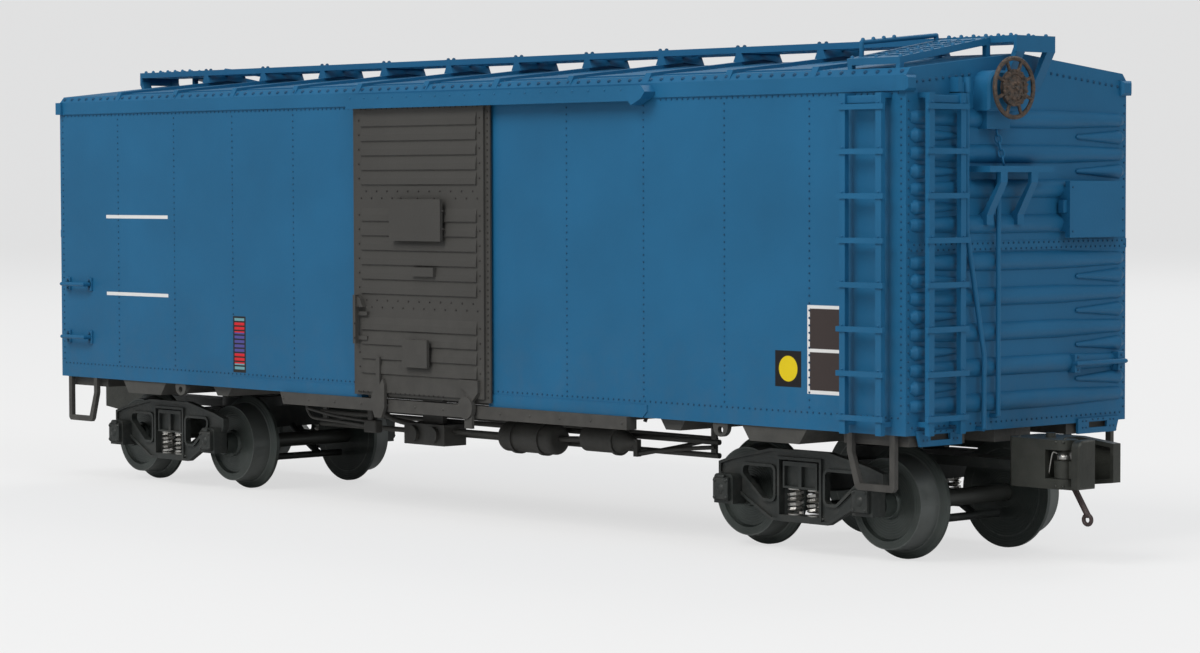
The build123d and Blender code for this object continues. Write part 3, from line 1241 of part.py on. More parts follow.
def hose_lever():
    """The lever shaped like an air hose that hangs under the head, with an eye at its end."""
    top_x = HALF_L + LEVER_REACH
    low = (top_x + LEVER_LEAN, 0, head_low - LEVER_LENGTH)
    stem = bar((top_x, 0, head_low), low, LEVER_R) + Pos(*low) * Sphere(LEVER_R)
    eye = Pos(low[0], 0, low[2] - LEVER_EYE_R) * Rot(90, 0, 0) * Torus(LEVER_EYE_R, LEVER_R * 2 / 3)
    perch = block(mouth_x - OVERRUN, top_x + LEVER_R, -LEVER_R, LEVER_R, head_low - LEVER_R, head_low)
    return stem + eye + perch


near_frame = Pos(truck_x, 0, 0) * sideframe()
for end, turn in (("brake", lambda s: s), ("plain", half_turn)):
    for place, sign in (("outer", 1), ("inner", -1)):
        save(f"wheelset_{end}_{place}", turn(Pos(truck_x + sign * axle_x, 0, z_at(TREAD_R)) * wheelset()))
    save(f"sideframe_{end}_near", turn(near_frame))
    save(f"sideframe_{end}_far", turn(near_frame.mirror(Plane.XZ)))
    save(f"truck_bolster_{end}", turn(Pos(truck_x, 0, 0) * truck_bolster()))
    save(f"springs_{end}", *[turn(Pos(truck_x, 0, 0) * one) for one in springs()])
    save(f"coupler_head_{end}", turn(coupler_head()))
    save(f"knuckle_{end}", turn(knuckle()))
    save(f"hose_lever_{end}", turn(hose_lever()))
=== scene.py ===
# %% [markdown]
# # A gauge 0 model boxcar, dressed for a photograph
#
# The CAD frame already holds the true shapes: sides, ribbed ends, roof, doors, ladders, trucks and couplers.
# This lesson gives every one of them a finish, and adds what is too small for CAD: rivets, bolts, chains,
# rods, stripes and blank plates. Nothing in the frame is moved. What is added stands on it, in metres.

# %% Load the frame
import math

import bmesh
import bpy
from mathutils import Matrix, Vector
from mathutils.bvhtree import BVHTree


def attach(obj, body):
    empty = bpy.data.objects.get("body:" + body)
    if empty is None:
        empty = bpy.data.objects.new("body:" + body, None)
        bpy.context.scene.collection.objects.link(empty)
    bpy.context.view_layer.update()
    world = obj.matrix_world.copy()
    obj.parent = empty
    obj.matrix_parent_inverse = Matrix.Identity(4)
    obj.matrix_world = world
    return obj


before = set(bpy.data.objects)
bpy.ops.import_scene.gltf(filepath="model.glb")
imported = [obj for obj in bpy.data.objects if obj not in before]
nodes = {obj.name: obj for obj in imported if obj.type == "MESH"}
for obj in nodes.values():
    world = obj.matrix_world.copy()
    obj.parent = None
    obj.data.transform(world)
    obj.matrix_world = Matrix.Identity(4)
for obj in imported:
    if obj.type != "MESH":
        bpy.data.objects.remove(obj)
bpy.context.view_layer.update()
scene = bpy.context.scene

# %% [markdown]
# ## A camera where the photographer stood
#
# Edges, seams, doors and wheels of the car were matched to their places in the photograph, and that gave a long
# lens about 0.7 m from the car, turned 47 degrees and tilted 2.5 degrees down. A camera could also be aimed by eye
# with a Track To constraint. Writing the solved angles keeps the perspective of the long side exact.

# %% Places in millimetres
MM = 0.001
PER_METRE = 1000.0
RAIL = 1.5                      # height of the rail's top over the frame's floor


def point(x, y, rise):
    """A place on the car from millimetres, with its height above the rails."""
    return Vector((x * MM, y * MM, (rise + RAIL) * MM))


print("one millimetre is", MM, "of Blender's units")

# %% The solved camera
PHOTO_WIDTH = 1200.0            # pixels
FOCAL_PIXELS = 3354.26
SENSOR_WIDTH = 36.0
VIEW_PLACE = (519.42, -462.16, 66.61)
VIEW_YAW, VIEW_PITCH, VIEW_ROLL = 47.25, -2.49, -0.16       # degrees


def aim_camera():
    """Make the camera from the solved place, angles and focal length."""
    data = bpy.data.cameras.new("camera")
    data.sensor_width = SENSOR_WIDTH
    data.lens = FOCAL_PIXELS * SENSOR_WIDTH / PHOTO_WIDTH
    data.clip_start, data.clip_end = 0.01, 20.0
    camera = bpy.data.objects.new("camera", data)
    scene.collection.objects.link(camera)
    yaw, pitch, roll = (math.radians(angle) for angle in (VIEW_YAW, VIEW_PITCH, VIEW_ROLL))
    forward = Vector((-math.sin(yaw) * math.cos(pitch), math.cos(yaw) * math.cos(pitch), math.sin(pitch)))
    turn = forward.to_track_quat("-Z", "Y").to_matrix().to_4x4()
    camera.matrix_world = Matrix.Translation(point(*VIEW_PLACE)) @ turn @ Matrix.Rotation(roll, 4, "Z")
    scene.camera = camera
    return camera


camera = aim_camera()
print("lens", round(camera.data.lens, 2), "mm at", [round(v, 3) for v in camera.location])

# %% [markdown]
# ## Shader maths as plain expressions
#
# A finish is a small network of nodes, and wiring it by hand hides the idea. The class below wraps one socket,
# so that `grime * 0.5 + 0.1` adds the Math nodes itself, and `1 - mask` works too.

# %% A wire with arithmetic
class Wire:
    """One socket of a network, with arithmetic on it."""

    def __init__(self, network, socket):
        self.network, self.socket = network, socket

    def __add__(self, other):
        return self.network.maths("ADD", self, other)

    def __sub__(self, other):
        return self.network.maths("SUBTRACT", self, other)

    def __rsub__(self, other):
        return self.network.maths("SUBTRACT", other, self)

    def __mul__(self, other):
        return self.network.maths("MULTIPLY", self, other)

    __radd__, __rmul__ = __add__, __mul__

    def above(self, edge, soft):
        """0 below the edge and 1 above it, with a soft step."""
        return self.network.maths("MULTIPLY", self - (edge - soft / 2), 1.0 / soft, clamp=True)

    def within(self, low, high, soft):
        """1 between two edges."""
        return self.above(low, soft) * (1 - self.above(high, soft))

    def either(self, other):
        """The larger of two masks."""
        return self.network.maths("MAXIMUM", self, other)


print("wires ready")

# %% [markdown]
# ## One method for every node
#
# Materials and the world are both node trees, so one class serves them. Its node method takes a node's type, its
# settings, which are set first, and what goes into its sockets. Maths and colour mixing are short forms of it.

# %% A network of nodes
class Network:
    """The nodes of one material or world."""

    def __init__(self, tree):
        self.tree = tree

    def plug(self, value, slot):
        """Put a number, a colour or a wire into a socket."""
        if isinstance(value, Wire):
            self.tree.links.new(value.socket, slot)
        elif hasattr(slot.default_value, "__len__") and len(slot.default_value) == 4 and len(value) == 3:
            slot.default_value = (*value, 1.0)
        else:
            slot.default_value = value

    def node(self, kind, settings=None, output=0, **sockets):
        """Add a node; a socket is named, or is the letter i and its number."""
        node = self.tree.nodes.new(kind)
        for key, value in (settings or {}).items():
            setattr(node, key, value)
        for key, value in sockets.items():
            numbered = key[0] == "i" and key[1:].isdigit()
            self.plug(value, node.inputs[int(key[1:]) if numbered else key])
        return Wire(self, node.outputs[output]) if node.outputs else None

    def maths(self, operation, *values, clamp=False):
        """A Math node whose values are wires or numbers."""
        sockets = {f"i{number}": value for number, value in enumerate(values)}
        return self.node("ShaderNodeMath", {"operation": operation, "use_clamp": clamp}, **sockets)

    def distance(self, first, second):
        """How far a place lies from an axis, from two offsets at right angles."""
        return self.maths("SQRT", first * first + second * second)

    def mix(self, share, first, second):
        """Blend two colours by a share."""
        return self.node("ShaderNodeMix", {"data_type": "RGBA"}, output=2, i0=share, i6=first, i7=second)


print("networks ready")

# %% [markdown]
# ## Finishes that know where they are
#
# A finish is a network round one Principled shader. Its patterns are laid out in the car's own millimetres, which
# the object's texture coordinate gives, because every mesh of the frame keeps its place in its points. An unwrapped
# mesh would do it too, but noise in space needs none, keeps one scale on every piece and meets at every seam.

# %% A finish
class Finish(Network):
    """A material under construction."""

    def __init__(self, name):
        self.material = bpy.data.materials.new(name)
        self.material.use_nodes = True
        super().__init__(self.material.node_tree)
        self.shader = self.tree.nodes["Principled BSDF"]
        self.spot = self.node("ShaderNodeTexCoord", output="Object")

    def place(self, axis):
        """One coordinate of the surface in the car's own frame, in millimetres."""
        return self.node("ShaderNodeSeparateXYZ", output=axis.upper(), Vector=self.spot) * PER_METRE

    def noise(self, scale, detail=4.0, rough=0.55, stretch=(1, 1, 1)):
        """Fractal noise; scale counts lumps in a millimetre."""
        spread = self.node("ShaderNodeVectorMath", {"operation": "MULTIPLY"}, i0=self.spot,
                           i1=tuple(PER_METRE * scale * part for part in stretch))
        return self.node("ShaderNodeTexNoise", Vector=spread, Scale=1.0, Detail=detail, Roughness=rough)

    def bump(self, height, strength):
        """A relief of a fifth of a millimetre at most."""
        return self.node("ShaderNodeBump", Height=height, Strength=strength, Distance=0.0002)

    def set(self, **sockets):
        """Fill sockets of the shader, with _ for a space in a name, and give the material back."""
        for key, value in sockets.items():
            self.plug(value, self.shader.inputs[key.replace("_", " ")])
        return self.material


print("finishes ready")

# %% [markdown]
# ## A pale floor and soft lamps
#
# The photograph shows the model on plain white. Here it stands on a wide pale floor that bends up into a backdrop,
# lit by one large soft lamp from the near side, weaker ones on the end and from behind, and an even world. The
# lamps are kept level and mild so that a colour renders about as it is written.

# %% Three soft lamps
scene.view_settings.view_transform = "Standard"
LAMP_TARGET = point(0, 0, 40)


def lamp(name, place, size, watts, colour):
    """A square area lamp that shines at the middle of the car."""
    data = bpy.data.lights.new(name, "AREA")
    data.size, data.energy, data.color = size, watts, colour
    thing = bpy.data.objects.new(name, data)
    scene.collection.objects.link(thing)
    thing.location = place
    thing.rotation_euler = (LAMP_TARGET - thing.location).to_track_quat("-Z", "Y").to_euler()


lamp("key", (0.10, -1.30, 1.30), size=0.9, watts=18.2, colour=(1.0, 0.985, 0.96))
lamp("fill", (1.40, -0.30, 1.15), size=0.8, watts=6.0, colour=(0.95, 0.98, 1.0))
lamp("back", (-0.5, 1.2, 1.3), size=1.0, watts=9.0, colour=(1.0, 1.0, 1.0))
print("three lamps")

# %% An even sky
SKY_STRENGTH = 0.42


def soft_sky():
    """An even world: mild as light and in reflections, and plain white to the camera and through glass."""
    world = bpy.data.worlds.new("sky")
    world.use_nodes = True
    world.node_tree.nodes.clear()
    scene.world = world
    sky = Network(world.node_tree)
    seen = sky.node("ShaderNodeLightPath", output="Is Camera Ray")
    seen = seen.either(sky.node("ShaderNodeLightPath", output="Is Transmission Ray"))
    light = sky.node("ShaderNodeBackground", Color=(0.96, 0.98, 1.0), Strength=SKY_STRENGTH)
    white = sky.node("ShaderNodeBackground", Color=(1.0, 1.0, 1.0), Strength=1.0)
    sky.node("ShaderNodeOutputWorld", Surface=sky.node("ShaderNodeMixShader", i0=seen, i1=light, i2=white))


soft_sky()
print("sky of strength", SKY_STRENGTH)

# %% Floor and backdrop
CARD_WHITE = (0.62, 0.62, 0.62)
CARD_GLOW = 0.66                # share of plain white in what the camera sees of the floor


def sweep_floor(half, depth, height, curve, steps):
    """A floor that bends up behind the car into a backdrop, as one mesh."""
    outline = [(-depth, 0.0)]
    for step in range(steps + 1):
        angle = math.pi / 2 * step / steps
        outline.append((depth - curve + curve * math.sin(angle), curve - curve * math.cos(angle)))
    outline.append((depth, height))
    mesh = bpy.data.meshes.new("floor")
    verts = [(x, y, z) for y, z in outline for x in (-half, half)]
    faces = [(2 * i, 2 * i + 1, 2 * i + 3, 2 * i + 2) for i in range(len(outline) - 1)]
    mesh.from_pydata(verts, [], faces)
    for face in mesh.polygons:
        face.use_smooth = True
    floor = bpy.data.objects.new("floor", mesh)
    scene.collection.objects.link(floor)
    return floor


def pale_card():
    """Matt card. The camera sees it partly lit from within, so it is near white and still holds the shadow."""
    card = Finish("pale_card")
    card.set(Base_Color=CARD_WHITE, Roughness=0.9)
    share = card.node("ShaderNodeLightPath", output="Is Camera Ray") * CARD_GLOW
    blend = card.node("ShaderNodeMixShader", i0=share, i1=Wire(card, card.shader.outputs[0]),
                      i2=card.node("ShaderNodeEmission"))
    card.plug(blend, card.tree.nodes["Material Output"].inputs["Surface"])
    return card.material


floor = sweep_floor(half=6.0, depth=5.0, height=4.0, curve=2.0, steps=12)
floor.data.materials.append(pale_card())
floor.rotation_euler.z = math.radians(VIEW_YAW)
print("floor of", len(floor.data.polygons), "strips")

# %% [markdown]
# ## Satin paint on a small cast body
#
# The body of such a model is a moulding with a thin satin coat. Up close it is never one flat colour: it is a
# little darker in places, a little dusty near the sill, and its gloss breaks on a fine skin. A painted picture
# could show that, but three noises of different size show it at every distance and never repeat.

# %% Satin coats
BLUE = (0.014, 0.124, 0.260)
BLUE_PAINTED_SHADE = (0.009, 0.068, 0.150)      # darker paint on rivet heads: a painted shade round and under each head
GREY = (0.062, 0.060, 0.056)
# Darker grey for the heads on the doors: the same painted shade round and under each head.
GREY_PAINTED_SHADE = (0.030, 0.028, 0.026)
DUST = (0.145, 0.140, 0.128)
SATIN_GLOSS = 0.22                      # of the shader's specular level


def satin_coat(name, colour, spread=0.10, dust=0.10, rough=0.46):
    """A finish with cloudy colour, a touch of dust low down and a fine skin. Its tint is its colour wire."""
    coat = Finish(name)
    cloud = coat.noise(0.045, 3.0)
    speck = coat.noise(1.9, 2.0)
    dark = tuple(part * (1 - spread) for part in colour)
    light = tuple(part * (1 + spread) for part in colour)
    low = 1 - coat.place("z").above(34.0, 26.0)
    settled = low * coat.noise(0.35, 5.0).above(0.56, 0.30) * dust
    coat.tint = coat.mix(settled, coat.mix(cloud.above(0.5, 0.5), dark, light), DUST)
    coat.set(Base_Color=coat.tint, Roughness=(speck - 0.5) * 0.16 + rough + settled * 0.5,
             Normal=coat.bump(speck, 0.10), Specular_IOR_Level=SATIN_GLOSS)
    return coat


blue = satin_coat("blue_satin", BLUE).material
grey = satin_coat("grey_satin", GREY, spread=0.08, dust=0.22, rough=0.5).material
# The heads of rivets, bolts and lumps take these darker coats: a painted shade round and under each head.
blue_head_painted_shade = satin_coat("blue_rivet_painted_shade", BLUE_PAINTED_SHADE, spread=0.2).material
grey_head_painted_shade = satin_coat("grey_rivet_painted_shade", GREY_PAINTED_SHADE, spread=0.2).material
print("blue and grey coats")

# %% Coats for the body and its doors
def coat_nodes(material, *names):
    """Give a finish to CAD nodes by name."""
    for name in names:
        nodes[name].data.materials.clear()
        nodes[name].data.materials.append(material)


coat_nodes(blue, "door_header_near", "door_header_far", "end_wall_brake", "end_wall_plain", "roof",
           "running_board", "lateral_boards", "upper_track_near", "upper_track_far", "side_ladder_near",
           "side_ladder_far", "end_ladder_brake", "end_ladder_plain", "side_grabs", "end_grabs", "brake_housing",
           "brake_platform", "brake_rods", "end_boards", "end_brackets")
coat_nodes(grey, "door_near", "door_far", "sill_track_near", "sill_track_far", "corner_steps", "floor")
print("body and doors coated")

# %% [markdown]
# ## Stripes, plates and a dot, painted on the sides
#
# On the real car these are stencilled or stuck on flat, so they have no thickness worth modelling. Thin cards laid
# on the wall would flicker and cast edges. Each is a mask in the wall's own x and height, added to the blue: two
# white stripes at the left, a plate of coloured bars, a black square with a yellow dot and two dark panels in a
# white frame. The far side is the same after a half turn, so its x is simply counted the other way.

# %% Places and colours of the marks
# Each box is left, right, low and high in millimetres, the last two above the rails.
STRIPES = ((-111.8, -88.1, 58.45, 59.20), (-111.8, -88.1, 41.15, 41.90))
BAR_PLATE, BAR_FIELD = (-64.3, -59.8, 25.6, 37.7), (-63.8, -60.3, 26.1, 37.3)
BAR_FOOT, BAR_PITCH = 26.0, 0.95
RED_BARS = ((34.2, 36.4), (27.5, 29.7))
DOT_PLATE, DOT_MIDDLE, DOT_RADIUS = (98.5, 105.0, 29.6, 36.1), (101.75, 32.88), 2.3
PANEL_FRAME = (106.5, 115.2, 28.6, 44.4)
PANELS = ((107.1, 114.7, 29.25, 36.05), (107.1, 114.7, 36.65, 43.80))
WHITE, YELLOW, BLACK = (0.80, 0.80, 0.79), (0.80, 0.60, 0.01), (0.012, 0.011, 0.012)
PLATE_GROUND, PANEL_BROWN = (0.020, 0.018, 0.018), (0.050, 0.038, 0.036)
BAR_RED, BAR_VIOLET, BAR_PALE = (0.68, 0.02, 0.03), (0.085, 0.080, 0.30), (0.16, 0.36, 0.40)
SHEET_Y = 29.9                          # only what lies further out than this is painted
EDGE = 0.10                             # softness of a painted edge
print(len(STRIPES) + len(PANELS) + 2, "marks on each side")

# %% Paint the sides
def side_marks():
    """The blue coat of the sides with its painted marks."""
    coat = satin_coat("blue_side", BLUE)
    y, z = coat.place("y"), coat.place("z") - RAIL
    along = coat.place("x") * (1 - y.above(0.0, 1.0) * 2.0)
    outside = coat.maths("ABSOLUTE", y).above(SHEET_Y, 0.1)

    def box(left, right, low, high):
        return along.within(left, right, EDGE) * z.within(low, high, EDGE) * outside

    tint = coat.tint
    for stripe in STRIPES:
        tint = coat.mix(box(*stripe), tint, WHITE)
    tint = coat.mix(box(*BAR_PLATE), tint, PLATE_GROUND)
    bars = coat.maths("FRACT", (z - BAR_FOOT) * (1 / BAR_PITCH)).within(0.28, 0.92, 0.08)
    red = z.within(*RED_BARS[0], EDGE).either(z.within(*RED_BARS[1], EDGE))
    pale = z.above(RED_BARS[0][1], EDGE).either(1 - z.above(RED_BARS[1][0], EDGE))
    colour = coat.mix(pale, coat.mix(red, BAR_VIOLET, BAR_RED), BAR_PALE)
    tint = coat.mix(box(*BAR_FIELD) * bars, tint, colour)
    tint = coat.mix(box(*DOT_PLATE), tint, BLACK)
    reach = coat.distance(along - DOT_MIDDLE[0], z - DOT_MIDDLE[1])
    tint = coat.mix((1 - reach.above(DOT_RADIUS, 0.12)) * outside, tint, YELLOW)
    tint = coat.mix(box(*PANEL_FRAME), tint, WHITE)
    tint = coat.mix(box(*PANELS[0]).either(box(*PANELS[1])), tint, PANEL_BROWN)
    return coat.set(Base_Color=tint)


coat_nodes(side_marks(), *[f"side_panel_{part}_{side}" for part in ("left", "right") for side in ("near", "far")])
print("sides painted")

# %% [markdown]
# ## Cast iron for the trucks and the gear below
#
# The trucks are die cast and blackened: rough, nearly black with a green cast, with dust in their pits. The gear
# under the floor is painted, so the same recipe without metal does for it. A single dark grey would turn them into
# a silhouette, so a cloud of lighter and darker metal lies under the dust.

# %% Castings
def cast_iron(name, colour, rough=0.56, metal=0.25, dust=0.35):
    """Blackened casting with a pitted skin and some dust. Its tint is its colour wire."""
    coat = Finish(name)
    pits = coat.noise(1.3, 5.0, 0.6)
    cloud = coat.noise(0.12, 3.0)
    tint = coat.mix(cloud.above(0.5, 0.4), tuple(c * 0.8 for c in colour), tuple(c * 1.35 for c in colour))
    settled = coat.noise(0.5, 4.0).above(0.60, 0.25) * dust
    coat.tint = coat.mix(settled, tint, (0.090, 0.086, 0.078))
    coat.set(Base_Color=coat.tint, Roughness=(pits - 0.5) * 0.3 + rough + settled * 0.3,
             Normal=coat.bump(pits, 0.35), Metallic=metal)
    return coat


iron = cast_iron("blackened_casting", (0.029, 0.033, 0.031), rough=0.47).material
under = cast_iron("underframe_grey", (0.054, 0.053, 0.048), metal=0.0, rough=0.60).material
hook = cast_iron("coupler_black", (0.040, 0.042, 0.036), metal=0.45, rough=0.42, dust=0.2).material
brown = cast_iron("lever_brown", (0.060, 0.040, 0.038), metal=0.2, rough=0.45, dust=0.1).material
for end in ("brake", "plain"):
    coat_nodes(iron, f"sideframe_{end}_near", f"sideframe_{end}_far", f"truck_bolster_{end}")
    coat_nodes(hook, f"coupler_head_{end}", f"knuckle_{end}")
    coat_nodes(brown, f"hose_lever_{end}")
coat_nodes(under, "centre_sill", "bolster_brake", "bolster_plain", "crossbearers", "air_reservoir",
           "control_valve", "brake_cylinder", "brake_pipe")
print("castings done")

# %% [markdown]
# ## Turned wheels
#
# The wheels are turned, so their faces carry faint rings round the axle, and the tread and the rim's edge are rubbed
# bright. Rings are the sine of the distance from the axle, which is why each wheelset gets its own copy with its
# own centre. An anisotropic shader would need tangents that these meshes don't have.

# %% Wheelsets
TRUCK_X, AXLE_STEP, AXLE_Z = 97.9, 17.45, 8.75


def turned_wheel(name, centre_x):
    """Blackened wheel with turning marks round its axle and a brighter tread."""
    coat = cast_iron(name, (0.052, 0.062, 0.057), metal=0.4, dust=0.15)
    reach = coat.distance(coat.place("x") - centre_x, coat.place("z") - (RAIL + AXLE_Z))
    rings = coat.maths("SINE", reach * 14.0)
    tread = reach.within(8.1, 9.0, 0.25) * coat.maths("ABSOLUTE", coat.place("y")).above(14.8, 0.4)
    rim = reach.within(8.05, 8.3, 0.12) * coat.noise(0.6, 3.0).above(0.45, 0.3)
    hub = 1 - reach.above(1.7, 0.2)
    tint = coat.mix((tread * 0.5).either(rim * 0.6), coat.tint, (0.16, 0.17, 0.165))
    tint = coat.mix(hub * 0.5, tint, (0.05, 0.045, 0.04))
    return coat.set(Base_Color=tint, Roughness=rings * 0.05 + 0.40, Normal=coat.bump(rings, 0.12))


ENDS = (("brake", 1), ("plain", -1))
for end, turn in ENDS:
    for place, shift in (("outer", AXLE_STEP), ("inner", -AXLE_STEP)):
        coat_nodes(turned_wheel(f"turned_{end}_{place}", turn * (TRUCK_X + shift)), f"wheelset_{end}_{place}")
print("four wheelsets turned")

# %% [markdown]
# ## Spring wire and a rusty hand wheel
#
# Springs and clips are bright drawn wire, the brightest metal on the car, with streaks along it. The hand wheel is
# thin brown paint that rust breaks through, so one coarse noise blends two browns and its relief lifts the rust.

# %% Wire and rust
def spring_wire():
    """Bright drawn wire, a little darker in its hollows."""
    coat = Finish("spring_wire")
    grain = coat.noise(2.5, 3.0, 0.5, stretch=(1, 1, 4))
    tint = coat.mix(grain.above(0.5, 0.5), (0.30, 0.29, 0.27), (0.62, 0.61, 0.58))
    return coat.set(Base_Color=tint, Roughness=grain * 0.2 + 0.22, Normal=coat.bump(grain, 0.1), Metallic=0.9)


def rusty_wheel():
    """Thin brown paint over rust on the brake wheel."""
    coat = Finish("rusty_wheel")
    rust = coat.noise(1.5, 5.0, 0.7)
    tint = coat.mix(rust.above(0.5, 0.22), (0.022, 0.020, 0.017), (0.105, 0.066, 0.044))
    return coat.set(Base_Color=tint, Roughness=rust * 0.3 + 0.35, Normal=coat.bump(rust, 0.7))


spring, rust = spring_wire(), rusty_wheel()
coat_nodes(spring, "springs_brake", "springs_plain")
coat_nodes(rust, "brake_wheel")
print("all", len(nodes), "nodes have a finish:", all(node.data.materials for node in nodes.values()))

# %% [markdown]
# ## Rivets, a thousand at a time
#
# A steel car is held by rows of rivets, and on the model they are moulded domes a quarter of a millimetre in
# radius. One object each would be far too many, and an array modifier can't skip the ladders. The helper collects
# places and the way each faces, and builds one mesh of low domes from them.
# Most heads take a darker coat, which is a painted shade round and under each one.

# %% Pieces that ride on a body
def carry(thing, body, material):
    """Link a new object, give it its finish and let it ride on a body."""
    scene.collection.objects.link(thing)
    thing.data.materials.append(material)
    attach(thing, body)
    return thing


def smooth_piece(name, body, verts, faces, material):
    """A smooth mesh object that rides on a body."""
    mesh = bpy.data.meshes.new(name)
    mesh.from_pydata(verts, [], faces)
    mesh.validate()
    for face in mesh.polygons:
        face.use_smooth = True
    return carry(bpy.data.objects.new(name, mesh), body, material)


print("pieces can ride")

# %% Many domes in one mesh
DOME_SIDES = 6
DOME_RINGS = ((1.0, -0.15), (0.72, 0.72))       # of the radius and the rise


def domes(name, body, spots, radius, rise, material):
    """One mesh of round heads; spots are places with the way they face, in millimetres above the rails."""
    verts, faces = [], []
    for place, facing in spots:
        facing = Vector(facing).normalized()
        side = facing.orthogonal().normalized()
        other = facing.cross(side)
        base, centre = len(verts), point(*place)
        for reach, height in DOME_RINGS:
            for step in range(DOME_SIDES):
                angle = 2 * math.pi * step / DOME_SIDES
                verts.append(centre + (side * math.cos(angle) + other * math.sin(angle)) * radius * reach * MM
                             + facing * rise * height * MM)
        verts.append(centre + facing * rise * MM)
        for step in range(DOME_SIDES):
            after, ring = (step + 1) % DOME_SIDES, base + DOME_SIDES
            faces.append((base + step, base + after, ring + after, ring + step))
            faces.append((ring + step, ring + after, ring + DOME_SIDES))
    return smooth_piece(name, body, verts, faces, material)


print("rivet gun ready")

# %% [markdown]
# ## A seat for every head
#
# A head has to touch the sheet under it, also where ribs swell and sink. The height could be worked out from the
# sizes of every rib. A ray sent back along the rivet finds the sheet and its slope with no sums at all.

# %% Seats and rows
NEAR, OUT, UP = (0, -1, 0), (1, 0, 0), (0, 0, 1)
skins = {}                      # one search tree for each CAD node that carries fasteners


def seat(node, place, facing, reach=8.0):
    """Where a fastener at a place meets a CAD node, seen along the way it faces. Returns a spot for domes."""
    if node not in skins:
        mesh = nodes[node].data
        skins[node] = BVHTree.FromPolygons([v.co for v in mesh.vertices], [p.vertices for p in mesh.polygons])
    facing = Vector(facing).normalized()
    spot, normal, _, _ = skins[node].ray_cast(point(*place) + facing * reach * MM, -facing)
    if spot is None:
        raise SystemExit(f"nothing under {place} on {node}")
    return (spot.x / MM, spot.y / MM, spot.z / MM - RAIL), tuple(normal)


def span(first, last, pitch):
    """Even places from first to last, near a pitch apart."""
    count = max(1, round(abs(last - first) / pitch))
    return [first + (last - first) * step / count for step in range(count + 1)]


def turned(spots):
    """The same spots at the diagonally opposite place of the car."""
    return [((-x, -y, z), (-u, -v, w)) for (x, y, z), (u, v, w) in spots]


def both_sides(spots):
    """The spots and their turned copies."""
    return spots + turned(spots)


print("rows and seats ready")

# %% [markdown]
# ## The sides: one column at every seam
#
# The sheets of the side meet every 21.4 mm, and the columns of rivets stand there. A row runs just above the strip
# along the sill and another under the fascia. Geometry Nodes could scatter them, but lists of places say exactly
# where each one stands. The wall is flat, so these need no ray.

# %% Rivets of the sides
SEAM = 21.4
WALL_Y = 30.2
CORNER_X = 128.9                # the last column, beside the corner
TRACK_SPAN = (-22, 68)          # the door's upper track hides the row under the fascia here
seams = [SEAM * step for step in (-5, -4, -3, -2, 2, 3, 4, 5)] + [-CORNER_X, CORNER_X]
side_spots = [((place, -WALL_Y, z), NEAR) for place in seams for z in span(26.2, 80.6, 1.32)]
for left, right in ((-128.2, -22.6), (22.6, 128.2)):
    row = span(left, right, 1.45)
    side_spots += [((x, -WALL_Y, 25.3), NEAR) for x in row]
    side_spots += [((x, -WALL_Y, 81.6), NEAR) for x in row if not TRACK_SPAN[0] < x < TRACK_SPAN[1]]
domes("side_rivets", "car_body", both_sides(side_spots), 0.22, 0.20, blue_head_painted_shade)
print(2 * len(side_spots), "rivets on the sides")

# %% [markdown]
# ## The roof: lumps along its edge, rivets beside each cap
#
# The roof's edge is pressed over the side, and heavy lumps hold it. Each cap covers a joint of two roof sheets, with
# a row of rivets on both sides of it. The places follow the slope, and each dome faces straight out of it.

# %% Lumps along the eaves
EAVE = (-29.65, 85.35)          # middle of the roof's slanted edge
EAVE_NORMAL = (0, -0.763, 0.646)
lumps = [((x, *EAVE), EAVE_NORMAL) for x in span(-128.6, 128.6, 2.87)]
domes("eave_lumps", "car_body", both_sides(lumps), 0.46, 0.36, blue_head_painted_shade)
print(2 * len(lumps), "lumps along the eaves")

# %% Rivets of the roof
RIDGE, CROWN, EDGE_Y = 89.1, 3.1, 29.1
CAP_PITCH = 21.51
CAP_ROW = 1.3                   # from a cap's middle to its row of rivets
CAP_STEPS = range(-5, 6)
slope = Vector((0, -CROWN, EDGE_Y)).normalized()
roof_spots = [((step * CAP_PITCH + side * CAP_ROW, -y, RIDGE - CROWN * y / EDGE_Y), slope)
              for step in CAP_STEPS for side in (-1, 1) for y in span(6.4, 28.4, 2.0)]
domes("roof_rivets", "car_body", both_sides(roof_spots), 0.22, 0.20, blue_head_painted_shade)
print(2 * len(roof_spots), "rivets on the roof")

# %% [markdown]
# ## The ends: seam, gable, corner and foot
#
# Between the two pressed sheets runs a lapped seam with two staggered rows. Heavier heads follow the gable under the
# roof, one column stands at each corner and one row runs along the foot. All of them are seated by a ray.

# %% Rivets of the ends
END_X = 130.0
STAYS = (2.6, 5.6)              # the running board's stays cover the gable here, both sides of the middle
GEAR = (-13.0, -3.0)            # and the gear case here
SEAM_ROWS = ((54.35, 0.0), (55.35, 0.7))        # height and stagger


def on_end(y, z):
    """A spot on the brake end's sheets."""
    return seat("end_wall_brake", (END_X, y, z), OUT)


gable = [on_end(y, RIDGE - CROWN * abs(y) / EDGE_Y - 2.55) for y in span(-27.6, 27.6, 1.7)
         if not (STAYS[0] < abs(y) < STAYS[1] or GEAR[0] < y < GEAR[1])]
domes("gable_rivets", "car_body", both_sides(gable), 0.32, 0.30, blue_head_painted_shade)
end_spots = [on_end(y + shift, row) for row, shift in SEAM_ROWS for y in span(-29.0, 28.2, 1.4)]
end_spots += [on_end(side * 29.6, z) for side in (-1, 1) for z in span(24.6, 80.2, 1.5)]
end_spots += [on_end(y, 23.6) for y in span(-28.6, 28.6, 1.4)]
domes("end_rivets", "car_body", both_sides(end_spots), 0.23, 0.20, blue_head_painted_shade)
print(2 * (len(gable) + len(end_spots)), "rivets on the ends")

# %% [markdown]
# ## Heads on the end's small plates
#
# Slotted brackets hang under the end's corners, and a blank board stands on its right half. Both are riveted on at
# their edges, with heads as small as those of the sheets. There are so few that their places are simply written out.

